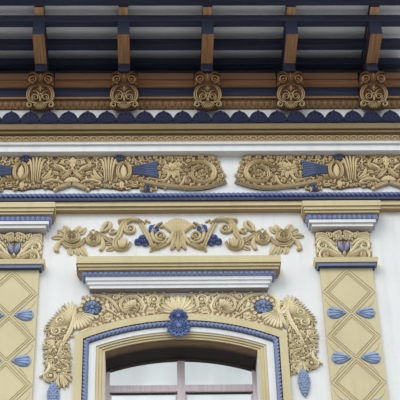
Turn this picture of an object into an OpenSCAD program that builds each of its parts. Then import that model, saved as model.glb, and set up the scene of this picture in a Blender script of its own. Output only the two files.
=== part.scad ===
// One bay of an ornamented plaster facade: wall, arched window, pilasters,
// carved frieze, cornice and timber eaves. Millimetres, front faces -Y, Z up.

/* [Bay] */
// Distance between the two pilaster centre lines
bay_w = 2224; // [2104:10:2404]
// Length of facade that is built, from party end to party end
slice_w = 3400; // [3300:10:3600]
// Thickness of the masonry wall
wall_t = 450; // [400:10:600]
// Height of the plinth course
plinth_h = 420; // [300:10:600]
// How far the plinth stands proud of the wall
plinth_proj = 45; // [30:5:80]

/* [Window] */
// Half width of the clear opening
opening_hw = 490; // [460:5:520]
// Height of the sill's upper face
sill_top = 850; // [700:10:1000]
// Height of the crown of the clear opening
crown_z = 2950; // [2900:10:2980]
// Radius of the segmental arch of the clear opening
arch_r = 1385; // [1200:5:1600]
// Depth of the outer reveal, from the wall face to the timber frame
reveal_d = 235; // [180:5:260]
// Depth of the timber frame from front to back
frame_d = 60; // [50:5:80]
// How far the frame reaches behind the masonry
rebate = 40; // [30:5:60]
// Part of the frame's width that shows beside the opening
frame_show = 26; // [20:1:40]
// Part of the frame's width that shows under the arch
head_show = 16; // [12:1:30]
// Width of the mullion
mullion_w = 50; // [44:2:60]
// Height of the transom's underside
transom_z = 2701; // [2500:1:2720]
// Height of the transom
transom_h = 45; // [35:1:60]
// How far frame, mullion and transom lap over a casement
lip = 18; // [10:1:18]
// Depth of that lap from front to back
lip_d = 24; // [18:1:28]
// Width of the sash stiles and rails
sash_w = 30; // [24:1:45]
// Thickness of the glass
glass_t = 4; // [3:1:6]
// Gap between a sash and the frame it closes on
sash_gap = 0.3; // [0.2:0.1:3]
// Height of the window sill
sill_h = 80; // [60:5:110]
// How far the sill stands proud of the wall
sill_proj = 120; // [100:5:160]
// How far the sill reaches past the surround at each end
sill_over = 60; // [20:5:80]

/* [Window surround] */
// Width of the stepped inner fillets
fillets_w = 57; // [45:1:75]
// Depth of the inner fillets behind the wall's face
step_back = 20; // [16:1:30]
// Width of the white flat
flat_w = 45; // [40:1:60]
// Diameter of the surround rope
rope_d = 38; // [28:1:42]
// Width of the outer band
outer_w = 52; // [40:1:65]
// How far the outer band stands proud
outer_proj = 36; // [28:1:42]
// How far the white flat stands proud
flat_proj = 12; // [8:1:14]
// How much narrower fillets and flat are over the arch than beside it
head_squeeze = 24; // [0:1:30]
// Length of one full twist of the surround rope
rope_twist = 136; // [100:4:200]
// Distance from the centre line to the keystone, to the left
key_shift = 16; // [0:1:20]

/* [Hood and crest] */
// Height from the surround's top to the hood's underside
hood_rise = 188; // [160:2:220]
// Distance from the centre line to the hood's middle, to the left
hood_shift = 9; // [0:1:20]
// Heights of the hood's members from the white bed upward
hood_h = [29, 25, 29, 28, 18, 19, 55];
// How far the same members stand proud
hood_proj = [55, 65, 75, 95, 116, 128, 140];
// Thickness of the plate behind the crest's carving
crest_ground_t = 8; // [6:1:12]
// Relief of the crest's carving over its plate
crest_relief = 24; // [16:1:30]

/* [Pilasters] */
// Half width of the pilaster shaft
shaft_hw = 176; // [160:1:190]
// How far the shaft stands proud of the wall
shaft_proj = 30; // [22:1:40]
// Height of the pilaster base above the plinth
base_h = 180; // [140:5:240]
// Height of the shaft's upper end
shaft_top = 3478; // [3460:1:3490]
// Height of the blue fillet under the neck band
neck_fillet_h = 22; // [16:1:28]
// Height of the yellow neck band
neck_band_h = 36; // [28:1:44]
// Height of the capital's carved body
capital_h = 267; // [240:1:280]
// Half width of the capital's body
capital_hw = 188; // [176:1:196]
// Distance between lozenge centres on the shaft
lozenge_step = 350; // [300:5:440]
// Width of a lozenge over its raised lines
lozenge_w = 306; // [260:2:330]
// Length of a blue drop
drop_l = 133; // [100:1:140]
// Heights of the abacus members from the white beds upward
abacus_h = [24, 25, 41, 18, 25, 44];
// How far the same members stand proud
abacus_proj = [74, 86, 99, 112, 124, 134];

/* [String band] */
// Height of the yellow bead, fascia and blue fillet of the string band
band_h = [19, 37, 16];
// How far those three stand proud
band_proj = [46, 63, 80];
// Diameter of the string rope
string_rope_d = 40; // [34:1:46]
// Length of one full twist of the string rope
string_twist = 100; // [80:5:240]

/* [Frieze] */
// Height of the frieze between string band and cornice
frieze_h = 442; // [400:1:470]
// Distance from the centre line to the gap between the frieze panels
frieze_shift = 368; // [340:1:400]
// Width of that gap
frieze_gap_w = 50; // [30:5:80]
// Thickness of the plate behind the frieze's carving
frieze_ground_t = 12; // [8:1:16]
// Relief of the frieze's carving over its plate
frieze_relief = 28; // [20:1:34]
// Relief of the garland on the wall
garland_relief = 30; // [20:1:36]

/* [Cornice] */
// Heights of the cornice members from the white soffit band upward
cornice_h = [53, 24, 33, 23, 48];
// How far the same members stand proud
cornice_proj = [68, 85, 118, 140, 155];
// Distance between eggs
egg_step = 62; // [52:1:80]
// Height of the band under the scallops
scallop_band_h = 54; // [40:2:80]
// Height of one scallop
scallop_h = 92; // [70:2:110]
// Distance between scallops
scallop_step = 136; // [120:1:150]

/* [Eaves] */
// Height of the plaster between the scallops and the timber cornice
reveal_band_h = 135; // [120:5:160]
// Distance between rafters
rafter_step = 606; // [560:1:640]
// Distance from the window's centre line to the first rafter on its right
rafter_shift = 222; // [180:1:240]
// Width of a lower rafter
rafter_w = 85; // [70:1:100]
// Depth of a lower rafter
rafter_h = 133; // [120:1:160]
// How far the lower rafters reach out from the wall
rafter_out = 520; // [480:5:560]
// How far all rafters reach into the wall
rafter_tail = 300; // [250:10:350]
// How far the upper rafters reach out beyond the lower ones
upper_extra = 80; // [60:5:120]
// Depth of an upper rafter
upper_h = 75; // [60:1:90]
// Width of an upper rafter
upper_w = 66; // [56:1:80]
// Width of a purlin
purlin_w = 60; // [45:1:70]
// Height of a purlin
purlin_h = 62; // [45:1:70]
// Width of a console
console_w = 196; // [176:2:210]
// How far a console stands out at its head
console_proj = 220; // [200:5:240]
// Height of a console
console_h = 253; // [240:1:260]
// Height of the blue pad between console and rafter
pad_h = 75; // [60:5:90]
// Overhang of the roof's edge from the wall
eaves_out = 760; // [720:10:820]
// Rise of the roof from its edge to the back of the wall
roof_rise = 387; // [300:1:460]
// Thickness of the tiled layer
tile_t = 90; // [80:5:110]

/* [Hidden] */

$fn = 48;
half = slice_w / 2;
cut = 1;
seat_gap = 0.3;
joint = 0.05;
ochre = [0.80, 0.68, 0.42];
blue = [0.20, 0.25, 0.48];
white = [0.90, 0.90, 0.88];
timber = [0.48, 0.33, 0.20];
mauve = [0.50, 0.40, 0.40];

// Widths and levels that follow from the sizes above
surround_w = fillets_w + flat_w + rope_d + outer_w;
surround_hw = opening_hw + surround_w;
arch_cz = crown_z - arch_r;
spring_z = arch_z(opening_hw, arch_r);
surround_top = arch_cz + head_r(surround_w);
hood_z = surround_top + hood_rise;
hood_top_z = hood_z + sum(hood_h);
pilaster_x = bay_w / 2;
shaft_edge = pilaster_x - shaft_hw;
neck_z = shaft_top + neck_fillet_h;
capital_z = neck_z + neck_band_h;
abacus_z = capital_z + capital_h;
abacus_over = [33, 52, 64, 80, 86, 92];
band_z = abacus_z + sum(abacus_h);
fillet_z = band_z + band_h[0] + band_h[1];
frieze_z = fillet_z + band_h[2];
cornice_z = frieze_z + frieze_h;
egg_z = cornice_z + sum(cornice_h, 2);
fascia_z = cornice_z + sum(cornice_h, 3);
crest_z = cornice_z + sum(cornice_h);
timber_z = crest_z + scallop_band_h + scallop_h + reveal_band_h;
cove_z = timber_z + 70;
timber_h = [8, 60, 61];
timber_proj = [108, 110, 120];
boards_z = cove_z + 56;
timber_top = boards_z + sum(timber_h);
rafter_z = timber_top;
purlin_z = rafter_z + rafter_h;
upper_z = purlin_z + purlin_h;
soffit_z = upper_z + upper_h;
soffit_t = 20;
board_t = 25;
deck_z = soffit_z + soffit_t;
deck_t = 30;
deck_lift = 40;
tile_over = 40;
upper_out = rafter_out + upper_extra;
// Rafters whose consoles find room between the party ends
rafter_xs = [for (k = [-4 : 3]) let (x = rafter_shift + k * rafter_step)
    if (abs(x) + console_w / 2 < half) x];
console_z = rafter_z - pad_h - console_h;
palmette_xs = [frieze_shift - pilaster_x, frieze_shift + pilaster_x];

function sum(v, n = -1, i = 0) =
    i >= (n < 0 ? len(v) : n) ? 0 : v[i] + sum(v, n, i + 1);
// Height of an arch of radius r at distance x from the middle
function arch_z(x, r) = arch_cz + sqrt(r * r - x * x);
// Arch radius of the surround's line that lies off beyond the opening's edge
function head_r(off) = arch_r + off - head_squeeze * min(1, off / (fillets_w + flat_w));
// Underside of the roof deck, out millimetres in front of the wall face
function deck_under(out) =
    deck_z + deck_lift + (eaves_out - board_t - out) * roof_rise / (eaves_out + wall_t);

// A block given by its two opposite corners
module block(x0, x1, y0, y1, z0, z1)
    translate([x0, y0, z0])
        cube([x1 - x0, y1 - y0, z1 - z0]);

// A moulding along the wall; its outline is drawn as [-proud, height]
module along(x0, x1)
    translate([x0, 0, 0])
        rotate([90, 0, 90])
            linear_extrude(x1 - x0)
                children();

// A flat shape drawn as [x, height] on the wall's face, t thick outward
module on_wall(t, proud = 0)
    translate([0, -proud, 0])
        rotate([90, 0, 0])
            linear_extrude(t)
                children();

// Carved strokes, joined to one outline and raised t over the given face
module carve(t, proud = 0)
    on_wall(t, proud)
        offset(delta = 0.01)
            children();

// Straight tier of a moulding that also returns at its two ends
module tier(cx, z0, z1, proj0, proj1, hw0, hw1)
    intersection() {
        along(cx - hw1 - hw0, cx + hw1 + hw0)
            polygon([[0, z0], [-proj0, z0], [-proj1, z1], [0, z1]]);
        translate([cx, cut, 0])
            rotate([90, 0, 0])
                linear_extrude(proj0 + proj1)
                    polygon([[-hw0, z0], [hw0, z0], [hw1, z1], [-hw1, z1]]);
    }

module both_sides()
    for (m = [0, 1])
        mirror([m, 0, 0])
            children();

module both_pilasters()
    for (s = [-1, 1])
        translate([s * pilaster_x, 0, 0])
            children();

// Smooth line through the points p, with n steps between two of them
function glide(p, n = 3) =
    let (m = len(p) - 1)
    [for (i = [0 : m - 1]) for (j = [0 : n - 1])
        let (t = j / n, a = p[max(0, i - 1)], b = p[i], c = p[i + 1], d = p[min(m, i + 2)])
            0.5 * (2 * b + (c - a) * t + (2 * a - 5 * b + 4 * c - d) * t * t
                + (3 * b - a - 3 * c + d) * t * t * t),
        p[m]];

// Spiral line round c from radius r0 to r1, from the angle start
function coil(c, r0, r1, start, turns) =
    let (n = max(5, ceil(abs(turns) * 11)))
    [for (i = [0 : n]) c + (r0 + (r1 - r0) * i / n) * dir(start + 360 * turns * i / n)];

function dir(a) = [cos(a), sin(a)];

// Width along a stroke at t = 0 to 1
function width_at(w, t) =
    let (s = t * (len(w) - 1), i = min(floor(s), len(w) - 2))
    w[i] + (w[i + 1] - w[i]) * (s - i);

// One edge of a stroke, on the left of its line for side 1 and on the right for -1
function edge(path, w, side) =
    let (n = len(path))
    [for (i = [0 : n - 1])
        let (d = path[min(n - 1, i + 1)] - path[max(0, i - 1)], h = side * width_at(w, i / (n - 1)) / 2)
            path[i] + h / norm(d) * [-d[1], d[0]]];

// A stroke along a line; w lists its widths from start to end
module ribbon(path, w)
    let (right = edge(path, w, -1), n = len(right))
        polygon(concat(edge(path, w, 1), [for (i = [n - 1 : -1 : 0]) right[i]]));

// Pointed leaf from p to its tip q; bend bows it to the left
module leaf(p, q, w, bend = 0)
    let (d = q - p)
        ribbon(glide([p, (p + q) / 2 + bend * [-d[1], d[0]], q], 2), [0.3 * w, 0.9 * w, w, 0.7 * w, 1.5]);

// Scroll that closes on a boss
module volute(c, r, start, turns, w) {
    ribbon(coil(c, r - w / 2, 0.4 * r, start, turns), [w, w, 0.7 * w]);
    translate(c)
        circle(0.26 * r, $fn = 8);
}

// Ring of width w
module ring(c, r, w)
    translate(c)
        difference() {
            circle(r, $fn = 20);
            circle(r - w, $fn = 20);
        }

// Shell of n ribs that spread from c, between the angles a0 and a1
module shell(c, r, a0, a1, n, inner = 0.2)
    for (i = [0 : n - 1])
        let (d = dir(a0 + (a1 - a0) * i / (n - 1)), chord = r * abs(a1 - a0) / 57.3 / (n - 1))
            ribbon([c + inner * r * d, c + 0.7 * r * d, c + 0.93 * r * d, c + r * d],
                [0.3 * chord, 0.7 * chord, 0.86 * chord, 0.3 * chord]);

// Spray of leaves from the hub to each tip, w wide
module spray(hub, tips, w)
    for (i = [0 : len(tips) - 1])
        leaf(hub + 0.12 * (tips[i] - hub), tips[i], w, i % 2 == 0 ? 0.1 : -0.1);

// Flower of n petals
module rosette(r, n)
    polygon([for (i = [0 : 4 * n - 1]) let (a = i * 90 / n) r * (0.86 + 0.14 * cos(n * a)) * dir(a)]);

// Drop with its point at the origin and its wide end l along +x, h high
module drop(l, h)
    polygon([for (i = [0 : 17]) let (a = i * 20)
        [l / 2 * (1 - cos(a)), 0.62 * h * sin(a) * pow(sin(a / 2), 0.8)]]);

// Outline of the window opening with half width hw and arch radius r
module opening_outline(hw, r, z0)
    intersection() {
        translate([-hw, z0])
            square([2 * hw, arch_cz + r - z0 + cut]);
        union() {
            translate([0, arch_cz])
                circle(r, $fn = 180);
            translate([-hw, z0])
                square([2 * hw, arch_cz - z0 + r / 2]);
        }
    }

// Band of width w round the opening, starting off beyond its edge
module surround_ring(off, w, t, proud = 0)
    on_wall(t, proud)
        difference() {
            opening_outline(opening_hw + off + w, head_r(off + w), sill_top);
            opening_outline(opening_hw + off, head_r(off), sill_top - cut);
        }

module masonry_pier(side)
    difference() {
        block(side < 0 ? -half : opening_hw, side < 0 ? -opening_hw : half,
            0, wall_t, plinth_h, spring_z);
        block(-opening_hw - rebate, opening_hw + rebate, reveal_d, wall_t + cut,
            sill_top, spring_z + cut);
        block(-opening_hw - fillets_w, opening_hw + fillets_w, -cut, step_back,
            sill_top, spring_z + cut);
    }

module pier_left() {
    color(white) masonry_pier(-1);
}

module pier_right() {
    color(white) masonry_pier(1);
}

module wall_below_window() {
    color(white) block(-opening_hw, opening_hw, 0, wall_t, plinth_h, sill_top - sill_h);
}

module wall_over_window() {
    color(white) difference() {
        block(-half, half, 0, wall_t, spring_z, rafter_z);
        translate([0, wall_t, 0])
            on_wall(wall_t)
                opening_outline(opening_hw, arch_r, sill_top);
        translate([0, wall_t + cut, 0])
            on_wall(wall_t + cut - reveal_d)
                opening_outline(opening_hw + rebate, arch_r + rebate, sill_top);
        translate([0, step_back, 0])
            on_wall(step_back + cut)
                opening_outline(opening_hw + fillets_w, head_r(fillets_w), sill_top);
    }
}

// Top of the wall between and above the rafters, up to the sloping deck
module wall_head() {
    color(white) difference() {
        along(-half, half)
            polygon([[0, rafter_z], [wall_t, rafter_z], [wall_t, deck_under(-wall_t)], [0, deck_under(0)]]);
        for (x = rafter_xs) {
            block(x - rafter_w / 2, x + rafter_w / 2, -cut, rafter_tail, rafter_z - cut, purlin_z);
            block(x - upper_w / 2, x + upper_w / 2, -cut, rafter_tail, upper_z, soffit_z);
        }
    }
}

module plinth() {
    chamfer = 20;
    color(ochre) along(-half, half)
        polygon([[wall_t, 0], [-plinth_proj, 0], [-plinth_proj, plinth_h - chamfer],
            [-plinth_proj + chamfer, plinth_h], [wall_t, plinth_h]]);
}

module window_sill() {
    bed_h = 30;
    bracket_h = 180;
    hw = surround_hw + sill_over;
    z = sill_top - sill_h;
    color(ochre) {
        tier(0, z, z + bed_h, sill_proj - 40, sill_proj - 10, hw - 40, hw - 10);
        tier(0, z + bed_h, sill_top, sill_proj, sill_proj, hw, hw);
        block(-opening_hw, opening_hw, 0, wall_t, z, sill_top);
        for (s = [-1, 1])
            translate([s * (surround_hw - 72), 0, 0])
                along(-55, 55)
                    polygon([[0, z - bracket_h], [-30, z - bracket_h], [-55, z - bracket_h / 2], [-75, z],
                        [0, z]]);
    }
}

module pilaster(cx) {
    z0 = plinth_h;
    base_top = z0 + base_h;
    block(cx - shaft_hw, cx + shaft_hw, -shaft_proj, 0, base_top, shaft_top);
    tier(cx, z0, base_top - 70, shaft_proj + 25, shaft_proj + 25, shaft_hw + 25, shaft_hw + 25);
    tier(cx, base_top - 70, base_top - 40, shaft_proj + 18, shaft_proj + 18, shaft_hw + 18, shaft_hw + 18);
    tier(cx, base_top - 40, base_top, shaft_proj + 14, shaft_proj + 4, shaft_hw + 14, shaft_hw + 4);
    for (k = [0 : lozenge_n - 1])
        translate([cx, 0, lozenge_top - (k + 0.5) * lozenge_step])
            carve(lozenge_relief, shaft_proj)
                lozenge_lines();
}

lozenge_top = shaft_top - 14;
lozenge_n = floor((lozenge_top - plinth_h - base_h) / lozenge_step);
lozenge_relief = 5;
line_w = 9;
line_gap = 8;

// Raised lines of one lozenge and of the triangles beside it
module lozenge_lines() {
    slope = lozenge_step / lozenge_w;
    for (inset = [0, line_w + line_gap])
        difference() {
            lozenge(lozenge_w / 2 - inset, slope);
            lozenge(lozenge_w / 2 - inset - line_w, slope);
        }
    reach = shaft_hw - line_w - line_gap;
    for (a = [0, 1], b = [0, 1])
        mirror([a, 0])
            mirror([0, b])
                translate([line_w + line_gap, lozenge_step / 2])
                    polygon([[0, 0], [line_w, 0], [reach, (line_w - reach) * slope], [reach, -reach * slope]]);
}

module lozenge(a, slope)
    polygon([[-a, 0], [0, -a * slope], [a, 0], [0, a * slope]]);

module pilaster_left() {
    color(ochre) pilaster(-pilaster_x);
}

module pilaster_right() {
    color(ochre) pilaster(pilaster_x);
}

module pilaster_teardrops() {
    from_middle = 27;
    color(blue)
        both_pilasters()
            for (k = [1 : lozenge_n - 1])
                translate([0, 0, lozenge_top - k * lozenge_step])
                    both_sides()
                        on_wall(18, shaft_proj)
                            translate([from_middle, 0])
                                drop(drop_l, 0.75 * drop_l);
}

module neck_fillets() {
    color(blue) both_pilasters()
        tier(0, shaft_top, neck_z, shaft_proj + 32, shaft_proj + 35, shaft_hw + 16, shaft_hw + 20);
}

module neck_bands() {
    color(ochre) both_pilasters()
        tier(0, neck_z, capital_z, shaft_proj + 44, shaft_proj + 50, shaft_hw + 32, shaft_hw + 40);
}

// Carved body of a capital: arched stems, corner leaves, volutes and a leaf crest
module capital(cx) {
    body_t = 10;
    relief = 34;
    crest_out = 18;
    rise = capital_h / 267;
    translate([cx, 0, 0]) {
        block(-capital_hw, capital_hw, -body_t, 0, capital_z, abacus_z);
        translate([0, 0, capital_z]) {
            carve(relief, body_t)
                difference() {
                    intersection() {
                        scale([capital_hw / 188, rise])
                            for (m = [0, 1])
                                mirror([m, 0])
                                    capital_half();
                        translate([-capital_hw, 0])
                            square([2 * capital_hw, capital_h - 1]);
                    }
                    offset(delta = joint)
                        tulip();
                }
            carve(crest_out, body_t + relief)
                scale([capital_hw / 188, rise])
                    for (m = [0, 1])
                        mirror([m, 0])
                            capital_crest();
        }
    }
}

module capital_half() {
    ribbon(glide([[50, 96], [90, 146], [136, 168], [178, 150], [176, 104], [150, 88], [132, 104]]),
        [14, 24, 24, 20, 12]);
    ribbon(glide([[14, 36], [62, 84], [116, 94], [162, 72], [160, 36], [128, 26]]), [14, 22, 22, 16]);
    leaf([66, 170], [186, 196], 26, -0.12);
    leaf([66, 196], [184, 224], 24, -0.12);
    leaf([90, 226], [180, 256], 24, -0.1);
    volute([66, 232], 27, 270, 1.2, 12);
    leaf([44, 50], [62, 134], 24, -0.1);
    leaf([20, 18], [96, 16], 22);
    leaf([100, 14], [180, 12], 20);
    capital_crest();
}

module capital_crest() {
    ribbon(glide([[70, 206], [50, 250], [20, 250], [12, 214]]), [12, 18, 18, 12]);
    ribbon(glide([[-1, 204], [12, 230], [24, 206], [8, 190], [-1, 194]], 2), [10, 12, 10]);
}

module tulip() {
    for (m = [0, 1])
        mirror([m, 0])
            ribbon(glide([[4, 66], [26, 106], [38, 154]]), [20, 40, 6]);
    leaf([0, 66], [0, 146], 32);
}

module capital_left() {
    color(ochre) capital(-pilaster_x);
}

module capital_right() {
    color(ochre) capital(pilaster_x);
}

module capital_tulips() {
    color(blue) both_pilasters()
        translate([0, 0, capital_z])
            carve(34, 10)
                tulip();
}

module abacus_tiers(i0, i1)
    both_pilasters()
        for (i = [i0 : i1])
            tier(0, abacus_z + sum(abacus_h, i), abacus_z + sum(abacus_h, i + 1),
                abacus_proj[i], abacus_proj[i], shaft_hw + abacus_over[i], shaft_hw + abacus_over[i]);

module abacus_beds() {
    color(white) abacus_tiers(0, 1);
}

module abacus_leaf_bands() {
    color(blue) both_pilasters()
        tier(0, abacus_z + sum(abacus_h, 2), abacus_z + sum(abacus_h, 3), abacus_proj[1] + 6,
            abacus_proj[2] + 5, shaft_hw + abacus_over[1] + 6, shaft_hw + abacus_over[2] + 6);
}

module abacus_tops() {
    color(ochre) abacus_tiers(3, 5);
}

module string_band() {
    color(ochre) along(-half, half)
        polygon([[0, band_z], [-band_proj[0], band_z], [-band_proj[0], band_z + band_h[0]],
            [-band_proj[1], band_z + band_h[0]], [-band_proj[1], fillet_z], [0, fillet_z]]);
}

string_rope_out = band_proj[2] - 14;
rope_seat_z = frieze_z + 14;
string_rope_z = rope_seat_z + string_rope_d / 2 + seat_gap;

// Blue fillet with a sloping bed that the rope lies on
module string_fillet() {
    color(blue) along(-half, half)
        polygon([[0, fillet_z], [-band_proj[2], fillet_z], [-band_proj[2], frieze_z],
            [-string_rope_out - 4, rope_seat_z], [0, rope_seat_z]]);
}

// Twisted square bar: points along a path, each section turned further
module twisted_bar(path, d, steps)
    let (
        n = len(path),
        section = function(i) let (
            a = path[max(0, i - 1)], b = path[min(n - 1, i + 1)],
            t = (b - a) / norm(b - a), s = [t[1], -t[0]])
            [for (k = [0 : 3]) let (g = 360 * i / steps + 90 * k, u = d / 2 * cos(g), v = d / 2 * sin(g))
                [path[i][0] + s[0] * u, -v, path[i][1] + s[1] * u]])
    polyhedron(
        points = [for (i = [0 : n - 1]) each section(i)],
        faces = concat([[3, 2, 1, 0]], [[for (k = [0 : 3]) 4 * (n - 1) + k]],
            [for (i = [0 : n - 2]) for (k = [0 : 3]) let (j = (k + 1) % 4)
                each [[4 * i + k, 4 * i + j, 4 * i + 4 + j], [4 * i + k, 4 * i + 4 + j, 4 * i + 4 + k]]]));

module string_rope() {
    steps = 6;
    n = floor(slice_w / string_twist * steps);
    color(blue) translate([0, -string_rope_out, 0])
        twisted_bar([for (i = [0 : n]) [-half + slice_w * i / n, string_rope_z]], string_rope_d, steps);
}

module surround_rope() {
    steps = 8;
    mid = fillets_w + flat_w + rope_d / 2;
    r = head_r(mid);
    x = opening_hw + mid;
    z = arch_z(x, r);
    rise_n = round((z - sill_top) / rope_twist * steps);
    a = asin(x / r);
    arch_n = round(2 * a / 360 * 2 * PI * r / rope_twist * steps);
    color(blue) translate([0, -rope_d / 2 - seat_gap, 0])
        twisted_bar(concat(
            [for (i = [0 : rise_n - 1]) [-x, sill_top + (z - sill_top) * i / rise_n]],
            [for (i = [0 : arch_n]) [0, arch_cz] + r * dir(90 + a - 2 * a * i / arch_n)],
            [for (i = [rise_n - 1 : -1 : 0]) [x, sill_top + (z - sill_top) * i / rise_n]]),
            rope_d, steps);
}

// The frieze's pattern is drawn for one half, from the palmette outward, downward from the cornice
module frieze_pattern(cx)
    translate([cx, cornice_z])
        scale([pilaster_x / 1112, frieze_h / 442])
            translate([0, -339])
                for (m = [0, 1])
                    mirror([m, 0])
                        children();

module frieze_window(x0, x1)
    intersection() {
        children();
        translate([x0 + joint, frieze_z])
            square([x1 - x0 - 2 * joint, frieze_h - 2]);
    }

module frieze_ground()
    polygon(concat([[-1, 86]], glide([[48, 78], [92, 40], [112, 22], [140, 40], [200, 56], [300, 42], [345, 26],
        [400, 46], [470, 50], [506, 14], [558, 14], [594, 52], [640, 44], [720, 52], [800, 36], [880, 26],
        [940, 32], [1000, 56], [1060, 84], [1098, 96]], 2), [[1062, 120], [1072, 160], [1050, 190], [1056, 235],
        [1022, 255], [1030, 296], [1006, 340], [-1, 340]]));

module frieze_strokes() {
    leaf([0, 232], [0, 340], 44);
    shell([0, 84], 58, 24, 156, 7);
    volute([46, 274], 37, 200, -1.2, 14);
    ribbon(glide([[64, 200], [112, 226], [122, 270], [92, 318]]), [10, 18, 18, 8]);
    ribbon(glide([[4, 206], [34, 168], [70, 124]]), [18, 28, 22]);
    ribbon(glide([[2, 80], [55, 64], [112, 34]]), [22, 28, 22]);
    ribbon(glide([[60, 84], [96, 110], [150, 110], [196, 92], [188, 72], [152, 74]]), [14, 20, 18, 12]);
    leaf([42, 190], [162, 258], 28, 0.12);
    leaf([92, 166], [150, 184], 24, 0.12);
    leaf([214, 112], [146, 226], 22, 0.12);
    leaf([208, 104], [124, 160], 20, 0.12);
    for (k = [-2 : 2])
        ribbon(glide([[254 + 8 * k, 104], [254 + 14 * k, 220], [254 + 27 * k, 334 - 7 * k * k]], 2),
            [9, 16, 24, 14]);
    difference() {
        translate([363, 198])
            scale([0.6, 1])
                circle(88, $fn = 28);
        translate([363, 198])
            scale([0.42, 1])
                circle(66, $fn = 24);
    }
    leaf([362, 128], [356, 262], 40);
    leaf([348, 110], [346, 30], 30);
    leaf([404, 74], [470, 54], 24);
    ribbon(glide([[418, 122], [536, 86], [641, 64], [750, 48], [850, 38], [940, 46], [1010, 66], [1086, 92]]),
        [12, 26, 28, 28, 24, 10]);
    ribbon(glide([[560, 126], [640, 108], [676, 152], [668, 190]]), [10, 18, 14]);
    spray([702, 208], [for (k = [0 : 9]) [702, 208] + (78 + 8 * (k % 2)) * dir(16 + 36 * k)], 28);
    ribbon(coil([908, 170], 118, 40, 150, -1.4), [16, 30, 27, 22, 14]);
    translate([912, 172])
        rosette(34, 7);
    ribbon(glide([[742, 48], [778, 94], [792, 150]]), [12, 20, 16]);
    for (v = [[634, 272, 32], [690, 312, 28], [762, 300, 26], [830, 326, 24], [905, 320, 25], [1030, 222, 28],
            [1042, 146, 25], [811, 96, 26], [742, 100, 24], [586, 322, 22], [480, 318, 24], [436, 296, 20]])
        volute([v[0], v[1]], v[2], 40, 1.1, 12);
    leaf([760, 240], [750, 290], 22);
    leaf([800, 275], [846, 300], 22);
    leaf([960, 290], [1012, 334], 22);
    leaf([1010, 268], [1046, 284], 20);
    leaf([1012, 188], [1066, 190], 20);
    leaf([1008, 104], [1062, 118], 20);
    leaf([870, 48], [880, 22], 22);
    leaf([660, 66], [640, 36], 22);
    leaf([590, 80], [568, 50], 20);
}

module frieze_blue() {
    for (k = [0 : 5])
        ribbon(glide([[424, 189 + 3 * k], [508, 162 + 15 * k], [594, 116 + 35 * k]], 2), [8, 22, 30, 18]);
    volute([532, 36], 26, 40, 1.2, 13);
    translate([331, 318])
        rosette(28, 6);
}

module frieze_panel(cx, x0, x1) {
    color(ochre) {
        carve(frieze_ground_t)
            frieze_window(x0, x1)
                frieze_pattern(cx)
                    frieze_ground();
        carve(frieze_relief, frieze_ground_t)
            difference() {
                frieze_window(x0, x1)
                    frieze_pattern(cx)
                        frieze_strokes();
                offset(delta = joint)
                    frieze_pattern(cx)
                        frieze_blue();
            }
    }
}

module frieze_panel_left() {
    frieze_panel(palmette_xs[0], -half, frieze_shift - frieze_gap_w / 2);
}

module frieze_panel_right() {
    frieze_panel(palmette_xs[1], frieze_shift + frieze_gap_w / 2, half);
}

module frieze_shells() {
    color(blue)
        for (cx = palmette_xs)
            carve(frieze_relief, frieze_ground_t)
                frieze_window(-half, half)
                    frieze_pattern(cx)
                        frieze_blue();
}

// White soffit band and fillet under the egg-and-dart
module cornice_bed() {
    color(white) along(-half, half)
        polygon([[0, cornice_z], [-cornice_proj[0], cornice_z], [-cornice_proj[0], cornice_z + cornice_h[0]],
            [-cornice_proj[1], cornice_z + cornice_h[0]], [-cornice_proj[1], egg_z], [0, egg_z]]);
}

module egg_and_dart() {
    n = floor(slice_w / egg_step);
    bed = cornice_proj[1] + 8;
    crown = cornice_proj[2] - 6;
    egg_r = cornice_h[2] / 2 - 1.5;
    color(ochre) {
        along(-half, half)
            polygon([[0, egg_z], [-bed, egg_z], [-crown, fascia_z], [0, fascia_z]]);
        for (i = [0 : n - 1])
            translate([(i - (n - 1) / 2) * egg_step, -(bed + crown) / 2, (egg_z + fascia_z) / 2])
                sphere(egg_r, $fn = 24);
    }
}

module cornice_fascia() {
    color(ochre) along(-half, half)
        polygon([[0, fascia_z], [-cornice_proj[3], fascia_z], [-cornice_proj[3], fascia_z + cornice_h[3]],
            [-cornice_proj[4], fascia_z + cornice_h[3]], [-cornice_proj[4], crest_z], [0, crest_z]]);
}

// Standing crest of pointed scallops on a band; each has a raised rim
module scallop_crest() {
    n = floor(slice_w / scallop_step);
    band_out = cornice_proj[4] - 5;
    rim_t = 8;
    color(blue) {
        block(-half, half, -band_out, 0, crest_z, crest_z + scallop_band_h);
        for (i = [0 : n - 1])
            translate([(i - (n - 1) / 2) * scallop_step, 0, crest_z + scallop_band_h]) {
                on_wall(32, band_out - 40)
                    scallop(1);
                on_wall(rim_t, band_out - 8)
                    difference() {
                        scallop(1);
                        translate([0, -cut])
                            scallop(0.72);
                    }
            }
    }
}

// Pointed scallop with hollow flanks, size 1 as high as its step asks
module scallop(size) {
    a = scallop_step / 2 * size;
    h = scallop_h * size;
    flank = glide([[a, 0], [0.66 * a, 0.42 * h], [0.3 * a, 0.86 * h], [0, h]], 2);
    n = len(flank);
    polygon(concat(flank, [for (i = [n - 2 : -1 : 0]) [-flank[i][0], flank[i][1]]]));
}

// The garland is drawn in the clear field between hood, string band and pilasters
module garland_field(t)
    carve(t)
        translate([-8, hood_top_z])
            scale([shaft_edge / 936, (band_z - hood_top_z) / 471])
                translate([0, -17])
                    for (m = [0, 1])
                        mirror([m, 0])
                            children();

module garland() {
    color(ochre) garland_field(garland_relief)
        difference() {
            garland_strokes();
            offset(delta = joint)
                garland_petals();
        }
}

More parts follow.
